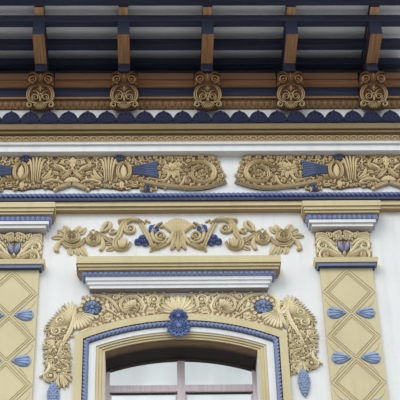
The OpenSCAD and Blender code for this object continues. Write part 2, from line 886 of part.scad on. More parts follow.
module garland_strokes() {
    for (k = [0 : 6])
        ribbon(glide([[20 * k, 442 - 2 * k * k], [15 * k, 372], [3 * k, 296]]), [16, 21, 8]);
    for (k = [0 : 2])
        ribbon(glide([[6 + 12 * k, 318], [22 + 16 * k, 246], [46 + 46 * k, 166]]), [18, 22, 34, 12]);
    leaf([0, 310], [0, 166], 30);
    ribbon(glide([[108, 408], [156, 372], [180, 306], [166, 244], [120, 226], [84, 252]]), [14, 24, 22, 14]);
    volute([122, 284], 46, 250, 1.2, 18);
    leaf([150, 222], [182, 166], 28);
    ribbon(glide([[176, 196], [214, 300], [256, 400]]), [20, 28, 24]);
    ribbon(glide([[232, 392], [262, 414], [312, 430], [362, 402], [388, 344], [402, 290], [432, 232],
        [420, 186], [390, 172], [346, 188], [322, 236]]), [16, 30, 32, 30, 26, 16]);
    volute([326, 330], 46, 60, -1.4, 18);
    for (x = [350, 378, 406])
        leaf([384 + 0.4 * (x - 384), 190], [x, 274], 24);
    leaf([352, 416], [412, 400], 30);
    leaf([436, 240], [498, 228], 28);
    leaf([428, 200], [490, 166], 28);
    ribbon(glide([[520, 316], [512, 364], [486, 402], [462, 394], [474, 352], [508, 322]]), [16, 24, 24, 16]);
    ribbon(glide([[566, 322], [512, 286], [440, 222]]), [18, 28, 22]);
    ring([576, 260], 50, 24);
    translate([576, 260])
        rosette(24, 5);
    ribbon(glide([[522, 276], [508, 214], [528, 160]]), [20, 26, 22]);
    ring([722, 280], 56, 26);
    translate([722, 280])
        rosette(28, 6);
    for (tip = [[784, 382], [826, 338], [862, 276], [668, 384], [624, 366]])
        leaf([722, 280] + 0.36 * (tip - [722, 280]), tip, 34, 0.08);
    leaf([722, 210], [720, 126], 34);
    leaf([686, 206], [666, 126], 34);
    leaf([654, 214], [614, 118], 36);
    ribbon(glide([[772, 262], [812, 222], [826, 172], [800, 162]]), [20, 26, 22]);
    ribbon(glide([[792, 250], [744, 202], [690, 200], [652, 232], [626, 272]]), [16, 30, 28, 16]);
}

module garland_petals() {
    translate([163, 344])
        rosette(34, 6);
    for (p = [[242, 262, 34], [276, 232, 28], [226, 220, 24]])
        translate([p[0], p[1]])
            rosette(p[2], 5);
}

module garland_flowers() {
    color(blue) garland_field(garland_relief + 4)
        garland_petals();
}

module hood_tiers(i0, i1)
    for (i = [i0 : i1])
        tier(-hood_shift, hood_z + sum(hood_h, i), hood_z + sum(hood_h, i + 1), hood_proj[i], hood_proj[i],
            hood_hw[i], hood_hw[i]);

hood_in = [94, 80, 67, 50, 22, 14, 6];
hood_hw = [for (d = hood_in) surround_hw - d];

module hood_bed() {
    color(white) hood_tiers(0, 2);
}

module hood_leaf_band() {
    color(blue)
        tier(-hood_shift, hood_z + sum(hood_h, 3), hood_z + sum(hood_h, 4),
            hood_proj[2] + 10, hood_proj[3] + 10, hood_hw[2] + 12, hood_hw[3] + 12);
}

module hood_top() {
    color(ochre) hood_tiers(4, 6);
}

module surround_band() {
    color(ochre) surround_ring(surround_w - outer_w, outer_w, outer_proj);
}

module surround_flat() {
    color(white) surround_ring(fillets_w, flat_w, flat_proj);
}

// Three stepped fillets that lead back into the opening
module surround_fillets() {
    fillet_proj = [-12, -4, 4];
    color(ochre)
        translate([0, step_back, 0])
            for (k = [0 : 2])
                surround_ring(k * fillets_w / 3, fillets_w / 3, step_back + fillet_proj[k]);
}

keystone_z = surround_top - 108;

module keystone_rosettes() {
    color(blue) translate([-key_shift, 0, keystone_z]) {
        on_wall(30, outer_proj)
            rosette(84, 12);
        translate([0, 0, 75])
            on_wall(26, outer_proj)
                rosette(66, 12);
    }
}

// Drawing field of the crest over the window head: [x, height over the hood's underside]
module crest_head_field(side)
    translate([side > 0 ? -36 : 0, hood_z])
        scale([surround_hw / 682, 1])
            mirror([side > 0 ? 0 : 1, 0])
                children();

// Field of a side drop, from the surround's edge outward; the right drop is shorter
module crest_side_field(side)
    translate([side * surround_hw, hood_z + (side > 0 ? 36 : 0)])
        scale([side * (shaft_edge - surround_hw) / 254, side > 0 ? 0.933 : 1])
            translate([-682, 0])
                children();

// Keeps what lies over the surround's head, under the hood and beside its jambs
module crest_window()
    difference() {
        intersection() {
            children();
            translate([-shaft_edge, sill_top])
                square([2 * shaft_edge, hood_z - 2 - sill_top]);
        }
        offset(delta = joint)
            opening_outline(surround_hw, head_r(surround_w), sill_top - cut);
        cone_room();
    }

module window_crest() {
    color(ochre) difference() {
        union() {
            carve(crest_ground_t)
                crest_window() {
                    translate([-surround_hw + 30, arch_z(surround_hw, head_r(surround_w)) + 20])
                        square([2 * surround_hw - 60, hood_z - arch_z(surround_hw, head_r(surround_w)) - 50]);
                    for (s = [-1, 1])
                        crest_side_field(s)
                            crest_side_ground();
                }
            carve(crest_relief, crest_ground_t)
                difference() {
                    crest_window() {
                        translate([-key_shift, hood_z - 170])
                            shell([0, 0], 152, 14, 166, 11);
                        for (s = [-1, 1]) {
                            crest_head_field(s)
                                crest_head();
                            crest_side_field(s)
                                crest_side();
                        }
                    }
                    offset(delta = joint)
                        crest_petals();
                }
        }
        keystone_rosettes();
    }
}

module crest_side_ground()
    polygon([[640, -110], [697, -127], [756, -100], [796, -162], [870, -260], [868, -349], [878, -406],
        [872, -484], [858, -567], [880, -640], [850, -690], [812, -696], [764, -724], [734, -724], [710, -690],
        [716, -652], [710, -576], [712, -492], [726, -424], [740, -386], [700, -330]]);

module crest_head() {
    ribbon(coil([330, -106], 82, 58, 205, -1), [16, 24, 22, 14]);
    shell([296, -142], 84, -6, 84, 6);
    volute([176, -62], 50, 300, 1.4, 18);
    leaf([206, -108], [238, -22], 28, 0.15);
    translate([196, -146])
        rosette(28, 6);
    ribbon(glide([[110, -156], [150, -110], [128, -40], [80, -26]]), [14, 24, 22, 12]);
    ribbon(glide([[262, -170], [236, -120], [262, -60], [306, -14]]), [12, 22, 20, 12]);
    ribbon(glide([[398, -156], [440, -80], [500, -34], [580, -20]]), [14, 24, 24, 14]);
    ribbon(glide([[414, -190], [462, -146], [514, -124]]), [12, 20, 14]);
    translate([470, -196])
        rosette(34, 6);
    volute([424, -40], 30, 200, -1.2, 13);
    leaf([486, -80], [462, -136], 28, 0.1);
    for (k = [0 : 11])
        leaf(flower_at + 56 * dir(11 + 30 * k), flower_at + 92 * dir(18 + 30 * k), 34);
    shell([686, -146], 146, 268, 198, 7);
}

module crest_side() {
    ribbon(glide([[686, -92], [694, -200], [716, -300], [756, -390], [792, -500]]), [14, 28, 30, 24, 14]);
    for (tip = [[712, -64], [762, -84], [800, -130], [828, -174], [854, -214], [880, -258], [888, -306]])
        leaf([712, -226 - 0.3 * (tip[0] - 762)], tip, 30, 0.08);
    volute([782, -222], 38, 240, 1.2, 16);
    volute([806, -304], 40, 60, -1.3, 16);
    leaf([756, -330], [716, -366], 26);
    spray([816, -430], [[882, -366], [892, -402], [892, -440], [886, -478], [712, -400], [704, -438],
        [770, -362], [736, -380], [842, -362]], 32);
    spray([798, -510], [[884, -506], [884, -544], [702, -468], [692, -504], [696, -540], [734, -450],
        [866, -574]], 32);
    spray([776, -606], [[700, -576], [694, -612], [692, -650], [694, -688], [712, -722], [740, -746],
        [770, -738], [846, -556]], 32);
    ribbon(glide([[850, -540], [838, -580], [860, -622], [900, -652]]), [14, 28, 24, 8]);
    volute([828, -644], 54, 20, -1.2, 24);
}

flower_at = [578, -126];

module crest_petals()
    for (s = [-1, 1])
        crest_head_field(s)
            translate(flower_at)
                rosette(60, 8);

// A flower on each side of the window head, and a cone hanging from each drop
module crest_flowers() {
    color(blue) {
        carve(crest_relief + 4, crest_ground_t)
            crest_petals();
        for (at = cones)
            intersection() {
                translate([at[0], 0, at[1]])
                    rotate_extrude()
                        cone_half();
                block(-half, half, -cone_r - cut, 0, sill_top, hood_z);
            }
    }
}

cone_r = 38;
cone_spread = (shaft_edge - surround_hw) / 254;
cones = [[-surround_hw - 124 * cone_spread, hood_z - 692], [surround_hw + 88 * cone_spread, hood_z - 611]];

module cone_half()
    polygon([[0, -198], [8, -196], [26, -140], [cone_r, -70], [34, -30], [20, -6], [0, 0]]);

// Outline of both cones, grown by a joint, that the crest leaves free
module cone_room()
    offset(delta = joint)
        for (at = cones)
            translate(at)
                for (m = [0, 1])
                    mirror([m, 0])
                        cone_half();

module window_frame() {
    ohw = opening_hw + rebate;
    ihw = opening_hw - frame_show;
    color(mauve) translate([0, reveal_d + frame_d, 0])
        difference() {
            union() {
                on_wall(frame_d)
                    difference() {
                        opening_outline(ohw, arch_r + rebate, sill_top);
                        opening_outline(ihw, arch_r - head_show, sill_top + frame_show);
                    }
                block(-mullion_w / 2, mullion_w / 2, -frame_d + 6, 0, sill_top + frame_show,
                    crown_z - head_show);
                block(-ihw, ihw, -frame_d + 6, 0, transom_z, transom_z + transom_h);
            }
            both_sides()
                block(mullion_w / 2 - lip, ihw + lip, lip_d - frame_d, cut, sill_top + frame_show - lip,
                    transom_z + lip);
        }
}

sash_y = reveal_d + lip_d + sash_gap;
sash_t = frame_d - lip_d - 2 * sash_gap;

// Room for a casement, made smaller all round by the given distance
module casement_field(less, y, t)
    block(mullion_w / 2 - lip + less, opening_hw - frame_show + lip - less, y, y + t,
        sill_top + frame_show - lip + less, transom_z + lip - less);

// Lower casements, one each side of the mullion
module window_sashes() {
    color(mauve)
        both_sides()
            difference() {
                casement_field(sash_gap, sash_y, sash_t);
                casement_field(sash_gap + sash_w, sash_y - cut, sash_t + 2 * cut);
            }
}

module window_glass() {
    upper_y = reveal_d + lip_d;
    color([0.75, 0.82, 0.85])
        both_sides() {
            casement_field(sash_gap + sash_w, sash_y + sash_t / 3, glass_t);
            intersection() {
                translate([0, upper_y + glass_t, 0])
                    on_wall(glass_t)
                        opening_outline(opening_hw - frame_show, arch_r - head_show, sill_top + frame_show);
                block(mullion_w / 2, opening_hw, upper_y - cut, upper_y + glass_t + cut, transom_z + transom_h,
                    crown_z);
            }
        }
}

module clear_of_consoles()
    difference() {
        children();
        for (x = rafter_xs)
            block(x - console_w / 2, x + console_w / 2, -console_proj - cut, cut,
                timber_z - cut, timber_top + cut);
    }

// Leaning leaf band with a square fillet over it
module carved_leaf_band() {
    color(ochre) clear_of_consoles() along(-half, half)
        polygon([[0, timber_z], [-20, timber_z], [-50, cove_z - 16], [-64, cove_z - 16], [-64, cove_z],
            [0, cove_z]]);
}

module timber_cove() {
    color(blue) clear_of_consoles() along(-half, half)
        polygon([[0, cove_z], [-60, cove_z], [-62, cove_z + 18], [-70, cove_z + 36], [-84, cove_z + 50],
            [-100, boards_z], [0, boards_z]]);
}

module timber_cornice() {
    color(timber) clear_of_consoles()
        for (i = [0 : 2])
            block(-half, half, -timber_proj[i], 0,
                boards_z + sum(timber_h, i), boards_z + sum(timber_h, i + 1));
}

// Scrolled console: its face leans out, its outline narrows at neck and waist
module consoles() {
    foot_out = 76;
    head_out = console_proj - 22;
    face_z = console_h - 32;
    lean = atan((head_out - foot_out) / face_z);
    color(ochre)
        for (x = rafter_xs)
            translate([x, 0, console_z]) {
                intersection() {
                    along(-console_w / 2, console_w / 2)
                        polygon([[0, 20], [-foot_out + 24, 0], [-foot_out, 0], [-head_out, face_z],
                            [-head_out, console_h], [0, console_h]]);
                    on_wall(console_proj + cut)
                        scale([console_w / 196, console_h / 253])
                            console_outline();
                }
                translate([0, -foot_out, 0])
                    rotate([lean, 0, 0])
                        carve(18, -4)
                            scale([console_w / 196, console_h / 253])
                                console_relief();
            }
}

module console_outline()
    for (m = [0, 1])
        mirror([m, 0])
            polygon([[-1, 0], [24, 4], [62, 22], [92, 34], [97, 46], [92, 60], [72, 72], [80, 90], [94, 112],
                [97, 140], [90, 166], [74, 186], [78, 204], [94, 218], [97, 240], [86, 253], [-1, 253]]);

module console_relief() {
    ring([0, 140], 82, 24);
    translate([0, 140])
        rosette(36, 8);
    for (z = [112, 168])
        translate([-62, z - 4])
            square([124, 8]);
    shell([0, 74], 66, 222, 318, 5);
    leaf([0, 196], [0, 250], 30);
    for (m = [0, 1])
        mirror([m, 0]) {
            volute([52, 226], 34, 250, 1.2, 15);
            ribbon(glide([[8, 62], [44, 56], [76, 44], [84, 62], [66, 68]]), [12, 22, 20, 12]);
        }
}

module console_pads() {
    pad_hw = 40;
    color(blue)
        for (x = rafter_xs)
            block(x - pad_hw, x + pad_hw, -console_proj, 0, console_z + console_h, rafter_z);
}

module lower_rafters() {
    color(ochre)
        for (x = rafter_xs)
            block(x - rafter_w / 2, x + rafter_w / 2, -rafter_out, rafter_tail, rafter_z, purlin_z);
}

module upper_rafters() {
    color(ochre)
        for (x = rafter_xs)
            block(x - upper_w / 2, x + upper_w / 2, -upper_out, rafter_tail, upper_z, soffit_z);
}

purlin_outs = [20, rafter_out * 0.43, rafter_out - purlin_w];

module purlins() {
    color(blue) {
        for (p = purlin_outs)
            block(-half, half, -p - purlin_w, -p, purlin_z, upper_z);
        block(-half, half, -upper_out - purlin_w, -upper_out, soffit_z - purlin_h, soffit_z);
    }
}

module soffit_boards() {
    color(white)
        block(-half, half, -eaves_out + board_t, 0, soffit_z, soffit_z + soffit_t);
}

module eaves_board() {
    hang = 30;
    color(blue) along(-half, half)
        polygon([[-eaves_out, soffit_z - hang], [-eaves_out + board_t, soffit_z - hang],
            [-eaves_out + board_t, deck_under(eaves_out - board_t)], [-eaves_out, deck_under(eaves_out)]]);
}

module end_boards() {
    color(timber)
        for (s = [-1, 1])
            translate([s * (half - board_t / 2), 0, 0])
                along(-board_t / 2, board_t / 2)
                    polygon([[-eaves_out + board_t, deck_z], [0, deck_z], [0, deck_under(0)],
                        [-eaves_out + board_t, deck_under(eaves_out - board_t)]]);
}

// Sloping layer over the whole depth, from low to high over the deck's underside
module roof_layer(over, low, high)
    along(-half, half)
        polygon([[-eaves_out - over, deck_under(eaves_out + over) + low], [wall_t, deck_under(-wall_t) + low],
            [wall_t, deck_under(-wall_t) + high], [-eaves_out - over, deck_under(eaves_out + over) + high]]);

module roof_deck() {
    color(timber) roof_layer(0, 0, deck_t);
}

module roof_tiles() {
    color([0.60, 0.33, 0.22]) roof_layer(tile_over, deck_t, deck_t + tile_t);
}

pier_left();
pier_right();
wall_below_window();
wall_over_window();
wall_head();
plinth();
window_sill();
pilaster_left();
pilaster_right();
pilaster_teardrops();
neck_fillets();
neck_bands();
capital_left();
capital_right();
capital_tulips();
abacus_beds();
abacus_leaf_bands();
abacus_tops();
string_band();
string_fillet();
string_rope();
frieze_panel_left();
frieze_panel_right();
frieze_shells();
cornice_bed();
egg_and_dart();
cornice_fascia();
scallop_crest();
garland();
garland_flowers();
hood_bed();
hood_leaf_band();
hood_top();
surround_band();
surround_rope();
surround_flat();
surround_fillets();
keystone_rosettes();
window_crest();
crest_flowers();
window_frame();
window_sashes();
window_glass();
timber_cornice();
timber_cove();
carved_leaf_band();
consoles();
console_pads();
lower_rafters();
upper_rafters();
purlins();
soffit_boards();
eaves_board();
end_boards();
roof_deck();
roof_tiles();
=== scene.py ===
# %% [markdown]
# # One bay of a painted plaster facade
# The object is a piece of street front: a masonry wall with an arched window, two pilasters, cast
# and carved plaster ornament, rope mouldings, a cornice and bracketed timber eaves. The measured
# model comes in as a fixed frame. This script gives every surface its finish and adds the carved
# relief, which is drawn stroke by stroke, because on the real wall it was pressed and cut by hand.

# %% Load the measured frame
import math

import bmesh
import bpy
import numpy as np
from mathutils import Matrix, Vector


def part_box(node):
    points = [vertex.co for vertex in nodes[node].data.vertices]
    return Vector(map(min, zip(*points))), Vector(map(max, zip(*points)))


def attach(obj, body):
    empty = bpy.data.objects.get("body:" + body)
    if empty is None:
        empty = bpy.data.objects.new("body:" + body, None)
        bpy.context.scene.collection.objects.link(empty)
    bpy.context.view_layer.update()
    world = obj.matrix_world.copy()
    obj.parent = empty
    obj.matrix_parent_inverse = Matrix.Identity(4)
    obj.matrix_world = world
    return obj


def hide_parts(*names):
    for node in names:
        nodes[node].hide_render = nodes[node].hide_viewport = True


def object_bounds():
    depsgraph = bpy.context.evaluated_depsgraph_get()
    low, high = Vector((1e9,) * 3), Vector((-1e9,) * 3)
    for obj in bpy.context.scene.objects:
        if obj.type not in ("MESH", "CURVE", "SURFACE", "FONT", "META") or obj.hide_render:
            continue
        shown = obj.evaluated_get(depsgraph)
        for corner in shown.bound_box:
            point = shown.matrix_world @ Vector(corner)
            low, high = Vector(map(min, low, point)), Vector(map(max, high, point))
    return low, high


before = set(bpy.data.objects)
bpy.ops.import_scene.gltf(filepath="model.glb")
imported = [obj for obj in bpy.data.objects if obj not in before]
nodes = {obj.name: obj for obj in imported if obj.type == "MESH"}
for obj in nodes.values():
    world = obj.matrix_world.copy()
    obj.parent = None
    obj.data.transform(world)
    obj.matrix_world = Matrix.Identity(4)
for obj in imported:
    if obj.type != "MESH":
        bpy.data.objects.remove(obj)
cad_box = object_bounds()
MM = 0.001
print(f"{len(nodes)} nodes, box {[round(v, 3) for v in (*cad_box[0], *cad_box[1])]}")

# %% [markdown]
# ## Levels
# Ornament has to sit on the mouldings that carry it, so heights and widths are read from the
# frame's own pieces. Only the arch's radius can't be read from a box, and how much the surround
# closes up over the arch, where its mouldings are narrower than at the sides. All drawing is in
# millimetres, as a plasterer's drawing would be.


# %% Read sizes from the frame
def span(node, axis):
    """Lowest and highest coordinate of a node along x, y or z, in millimetres."""
    low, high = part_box(node)
    i = "xyz".index(axis)
    return low[i] / MM, high[i] / MM


def underside(node):
    return span(node, "z")[0]


def topside(node):
    return span(node, "z")[1]


def proud(node):
    """How far a node stands out from the wall's face."""
    return -span(node, "y")[0]


half_length = span("cornice_bed", "x")[1]
party_ends = (-half_length, half_length)
pilaster_x = sum(span("pilaster_right", "x")) / 2
shafts = (-pilaster_x, pilaster_x)
opening_half = span("pier_right", "x")[0]
surround_half = span("surround_band", "x")[1]
surround_top = topside("surround_band")
neck_top = topside("neck_bands")
hood_low = underside("hood_bed")
hood_high = topside("hood_top")
cornice_low = underside("cornice_bed")
ARCH_R = 1385
HEAD_SQUEEZE = 24
head_r = ARCH_R + surround_half - opening_half - HEAD_SQUEEZE
arch_centre = surround_top - head_r
print(f"pilasters at {pilaster_x:.0f}, hood {hood_low:.0f} to {hood_high:.0f}, cornice {cornice_low:.0f}")

# %% [markdown]
# ## Shader maths
# A material's graph is easier to read as arithmetic. `Value` wraps one output of a node, and its
# operators add Math nodes. `Finish` holds one material and has a single method for all other nodes.


# %% Arithmetic on sockets
class Value:
    """A number on a material's graph; each operator adds one Math node."""

    def __init__(self, finish, socket):
        self.finish = finish
        self.socket = socket

    def _math(self, operation, a, b):
        return self.finish.node("ShaderNodeMath", {"operation": operation}, {0: a, 1: b})

    def __add__(self, other):
        return self._math("ADD", self, other)

    __radd__ = __add__

    def __rsub__(self, other):
        return self._math("SUBTRACT", other, self)

    def __mul__(self, other):
        return self._math("MULTIPLY", self, other)

    __rmul__ = __mul__

    def between(self, low, high):
        """0 below low, 1 above high, and a soft step from one to the other."""
        settings = {"interpolation_type": "SMOOTHSTEP"}
        return self.finish.node("ShaderNodeMapRange", settings, {0: self, 1: low, 2: high})


class Finish:
    """One procedural material."""

    def __init__(self, name):
        self.material = bpy.data.materials.new(name)
        self.material.use_nodes = True
        self.tree = self.material.node_tree
        self.shader = self.tree.nodes["Principled BSDF"]

    def node(self, kind, settings=None, sockets=None, output=0):
        """Adds a node: its settings first, then the values or links of its sockets."""
        node = self.tree.nodes.new(kind)
        for key, value in (settings or {}).items():
            setattr(node, key, value)
        for key, value in (sockets or {}).items():
            if isinstance(value, Value):
                self.tree.links.new(value.socket, node.inputs[key])
            else:
                node.inputs[key].default_value = value
        return Value(self, node.outputs[output])

    def place(self, stretch=(1, 1, 1)):
        """Position on the object in metres, squeezed along each axis by stretch."""
        spot = self.node("ShaderNodeTexCoord", output="Object")
        return self.node("ShaderNodeVectorMath", {"operation": "MULTIPLY"}, {0: spot, 1: stretch})

    def axis(self, name):
        """One coordinate of the position, in metres."""
        return self.node("ShaderNodeSeparateXYZ", {}, {0: self.place()}, output=name)

    def underside(self):
        """0 on upright faces, rising to 1 where a face looks down."""
        normal = self.node("ShaderNodeNewGeometry", output="Normal")
        return (-1.0 * self.node("ShaderNodeSeparateXYZ", {}, {0: normal}, output="Z")).between(0.25, 0.85)

    def from_arch_centre(self):
        """Distance on the street plane from the centre of the window's arch, in metres."""
        sockets = {0: self.place((1, 0, 1)), 1: (0, 0, arch_centre * MM)}
        offset = self.node("ShaderNodeVectorMath", {"operation": "SUBTRACT"}, sockets)
        return self.node("ShaderNodeVectorMath", {"operation": "LENGTH"}, {0: offset}, output="Value")

    def noise(self, where, scale, detail=3.0, roughness=0.55):
        sockets = {"Vector": where, "Scale": scale, "Detail": detail, "Roughness": roughness}
        return self.node("ShaderNodeTexNoise", {}, sockets)

    def hollows(self, reach):
        """0 on open faces, rising to 1 in corners and grooves narrower than reach."""
        settings = {"samples": 6, "only_local": False}
        return 1.0 - self.node("ShaderNodeAmbientOcclusion", settings, {"Distance": reach}, output="AO")

    def mix(self, factor, a, b):
        """Colour a where factor is 0, colour b where it is 1."""
        settings = {"data_type": "RGBA", "clamp_factor": True}
        sockets = {0: factor, 6: (*a, 1.0) if isinstance(a, tuple) else a}
        sockets[7] = (*b, 1.0) if isinstance(b, tuple) else b
        return self.node("ShaderNodeMix", settings, sockets, output=2)

    def bump(self, height, distance):
        """A surface normal tilted by a height that varies 0 to 1 over distance metres."""
        return self.node("ShaderNodeBump", {}, {"Height": height, "Distance": distance, "Strength": 1.0})

    def surface(self, **sockets):
        """Sets the shader's own sockets; underscores stand for the spaces in their names."""
        for key, value in sockets.items():
            socket = self.shader.inputs[key.replace("_", " ")]
            if isinstance(value, Value):
                self.tree.links.new(value.socket, socket)
            elif isinstance(value, tuple):
                socket.default_value = (*value, 1.0)
            else:
                socket.default_value = value
        return self.material


print("shader maths ready")

# %% [markdown]
# ## Plaster
# The wall is limewashed lime plaster, and its ornament is cast plaster under masonry paint. Brushed
# coats leave broad patches, sand gives a fine grain, paint chips on raised edges, and dust settles
# in every hollow. With that dust, the hollows and every face that looks down are darkened as painted
# shade, and this matters most: it is what makes the carving readable from the street. It could be
# painted by hand, but here it comes from ambient occlusion and from the way each face turns, so it
# follows the real form. Under the eaves the cornice's fascia is a darker copy of the ochre, and the
# ground behind the frieze's carving is dark brown, both painted shade, so the cornice and the frieze
# are darker than the rest.
# The scales are those of each pattern's noise, in waves per metre.

# %% Plaster finish
PATCH_SCALE, STREAK_SCALE, LUMP_SCALE, FLAKE_SCALE, SAND_SCALE = 2.3, 1.6, 24.0, 46.0, 160.0
RUN_DOWN = (9.0, 9.0, 0.8)


def plaster(name, paint, patch, dust_and_shade, chip=None, chips=0.0, reach=0.03, amount=0.8, start=0.12, grime_and_shade=0.55,
            sand=0.0012, front=None, foot=None):
    """Painted plaster: paint with broad patches, and chip where chips of it have come off.

    The third colour gathers by amount in hollows tighter than reach, from a share start on, as dirt and
    painted shade. grime_and_shade says how much of it every face that looks down has taken, as dirt and
    painted shade. sand is the grain's depth. front is a colour for street faces only, used as painted
    shade; foot = (colour, low, high) is another one below those heights, used as painted light and shade.
    """
    f = Finish(name)
    where = f.place()
    clouds = f.noise(where, PATCH_SCALE, 4.0).between(0.38, 0.66)
    streaks = f.noise(f.place(RUN_DOWN), STREAK_SCALE, 3.0).between(0.45, 0.75)
    grain = f.noise(where, SAND_SCALE, 3.0, 0.7)
    lumps = f.noise(where, LUMP_SCALE, 3.0)
    colour = f.mix(clouds * 0.7, paint, patch)
    colour = f.mix(streaks * 0.12, colour, dust_and_shade)
    if chip:
        flakes = f.noise(where, FLAKE_SCALE, 5.0, 0.65).between(0.62 - 0.12 * chips, 0.72)
        colour = f.mix(flakes * 0.75, colour, chip)
    # A colour on faces towards the street only, here used as painted shade.
    if front:
        colour = f.mix(f.axis("Y").between(0.001, 0.004), front, colour)
    # A colour below given heights: painted shade under the hood and painted light on the consoles.
    if foot:
        colour = f.mix(f.axis("Z").between(*foot[1:]), foot[0], colour)
    # Faces that look down and tight hollows take the third colour: dirt and painted shade.
    colour = f.mix(f.underside() * grime_and_shade, colour, dust_and_shade)
    colour = f.mix(f.hollows(reach).between(start, 0.95) * amount, colour, dust_and_shade)
    normal = f.bump(lumps * 0.7 + grain * 0.3, sand)
    rough = 0.72 + 0.2 * grain
    return f.surface(Base_Color=colour, Roughness=rough, Specular_IOR_Level=0.3, Normal=normal)


# Each plaster's third colour is its dirt and its painted shade.
WHITE = (0.83, 0.845, 0.84), (0.79, 0.805, 0.805), (0.34, 0.305, 0.31)
white = plaster("white_limewash", *WHITE, reach=0.05, amount=0.3, sand=0.0010, grime_and_shade=0.42)
# Its underside is a dark mauve: painted shade under the hood.
hood_white = plaster("white_limewash_of_hood", *WHITE, reach=0.03, amount=0.2, sand=0.0010, grime_and_shade=0.35,
                     foot=((0.16, 0.125, 0.13), hood_low * MM + 0.001, hood_low * MM + 0.004))
# Its underside takes much of the third colour: painted shade under the abacus.
abacus_white = plaster("white_limewash_of_abacus", *WHITE, reach=0.03, amount=0.3, sand=0.0010, grime_and_shade=0.85)
# Its face towards the street, between the rafters, is near black: painted shade under the eaves.
wall_top = plaster("white_limewash_under_eaves", *WHITE, sand=0.0010, front=(0.035, 0.038, 0.055))
shaft_paint = plaster("pilaster_ochre_paint", (0.675, 0.60, 0.37), (0.625, 0.55, 0.34), (0.34, 0.24, 0.12),
                      amount=0.4)
ochre = plaster("ochre_paint", (0.66, 0.575, 0.35), (0.605, 0.525, 0.315), (0.24, 0.135, 0.055),
                amount=0.5, grime_and_shade=0.8)
# A darker copy of the ochre for the cornice's fascia: painted shade under the eaves.
eaves_shaded = plaster("eaves_shaded_ochre_paint", (0.245, 0.18, 0.092), (0.21, 0.15, 0.075), (0.07, 0.04, 0.02),
                amount=0.75)
egg_paint = plaster("egg_and_dart_paint", (0.70, 0.525, 0.30), (0.63, 0.47, 0.265), (0.16, 0.10, 0.045),
                    reach=0.022, amount=0.85, start=0.4, grime_and_shade=0.0)
cast = plaster("cast_ornament_paint", (0.87, 0.775, 0.52), (0.81, 0.705, 0.46), (0.15, 0.095, 0.045),
               chip=(0.88, 0.83, 0.71), chips=0.2, reach=0.018, amount=0.95, start=0.42, grime_and_shade=0.25)
# A lighter copy of the cast paint: painted light on the capitals, which the abaci shade.
capital_lit_paint = plaster("capital_lit_paint", (0.94, 0.86, 0.62), (0.90, 0.81, 0.57), (0.17, 0.11, 0.055),
                        reach=0.013, amount=0.9, start=0.5, grime_and_shade=0.05)
vine = plaster("garland_paint", (0.67, 0.57, 0.345), (0.60, 0.50, 0.295), (0.16, 0.10, 0.045),
               chip=(0.76, 0.70, 0.55), chips=0.3, reach=0.022, amount=0.85, start=0.36, grime_and_shade=0.45)
carved = plaster("frieze_paint", (0.73, 0.595, 0.35), (0.65, 0.52, 0.30), (0.10, 0.06, 0.03),
                 chip=(0.77, 0.67, 0.47), chips=0.3, reach=0.020, amount=0.95, start=0.42, grime_and_shade=0.3)
# Dark brown behind the frieze's carving: painted shade between its forms.
ground = plaster("frieze_ground_painted_shade", (0.22, 0.14, 0.075), (0.17, 0.105, 0.055), (0.05, 0.03, 0.015),
                 start=0.3)
# Dark ochre-brown behind the crest's and the capitals' carving: painted shade between the forms.
cast_ground = plaster("crest_ground_painted_shade", (0.38, 0.28, 0.155), (0.31, 0.22, 0.12), (0.09, 0.055, 0.03),
                      start=0.4, grime_and_shade=0.3)
base_paint = plaster("base_course_paint", (0.58, 0.51, 0.34), (0.50, 0.44, 0.30), (0.24, 0.20, 0.14),
                     chip=(0.62, 0.60, 0.56), chips=0.5, sand=0.003)
print("plaster finishes:", white.name, ochre.name, cast.name, carved.name)


# %% Blue paints
def blue_plaster(name, paint, chips=0.6, start=0.25, grime_and_shade=0.6):
    """Blue masonry paint, worn pale grey on its edges, in its grooves almost black: dirt and painted shade.
    """
    patch = tuple(0.8 * c + 0.05 for c in paint)
    # The almost black of grooves and undersides is dirt and painted shade.
    groove = tuple(0.2 * c for c in paint)
    worn = tuple(0.6 * c + 0.2 for c in paint)
    return plaster(name, paint, patch, groove, chip=worn, chips=chips, reach=0.016, amount=0.95, start=start,
                   grime_and_shade=grime_and_shade)


blue = blue_plaster("blue_paint", (0.16, 0.20, 0.41))
neck_blue = blue_plaster("neck_fillet_blue_paint", (0.20, 0.26, 0.44), grime_and_shade=0.95)
# The string fillet's blue is made close to black: painted shade below the rope.
fillet_shaded_blue = blue_plaster("fillet_shaded_blue_paint", (0.05, 0.062, 0.135), 0.1, grime_and_shade=0.9)
rose_blue = blue_plaster("rosette_blue_paint", (0.17, 0.24, 0.50), start=0.06)
tulip_blue = blue_plaster("tulip_blue_paint", (0.33, 0.35, 0.52))
band_blue = blue_plaster("leaf_band_blue_paint", (0.32, 0.385, 0.66))
posy_blue = blue_plaster("posy_blue_paint", (0.15, 0.20, 0.46), 0.4, 0.22)
rope_blue = blue_plaster("faded_blue_paint", (0.24, 0.30, 0.50), 0.3, 0.05)
drop_blue = blue_plaster("drop_blue_paint", (0.30, 0.395, 0.62), 0.5)
shell_blue = blue_plaster("frieze_shell_blue_paint", (0.20, 0.26, 0.47))
cone_blue = blue_plaster("cone_blue_paint", (0.29, 0.375, 0.58), 0.5)
# Dark blue paint made close to black: painted shade under the eaves.
scallop_shaded_blue = plaster("scallop_shaded_blue_paint", (0.012, 0.016, 0.046), (0.018, 0.022, 0.054), (0.004, 0.005, 0.014))
print("blue paints:", blue.name, rope_blue.name, scallop_shaded_blue.name)

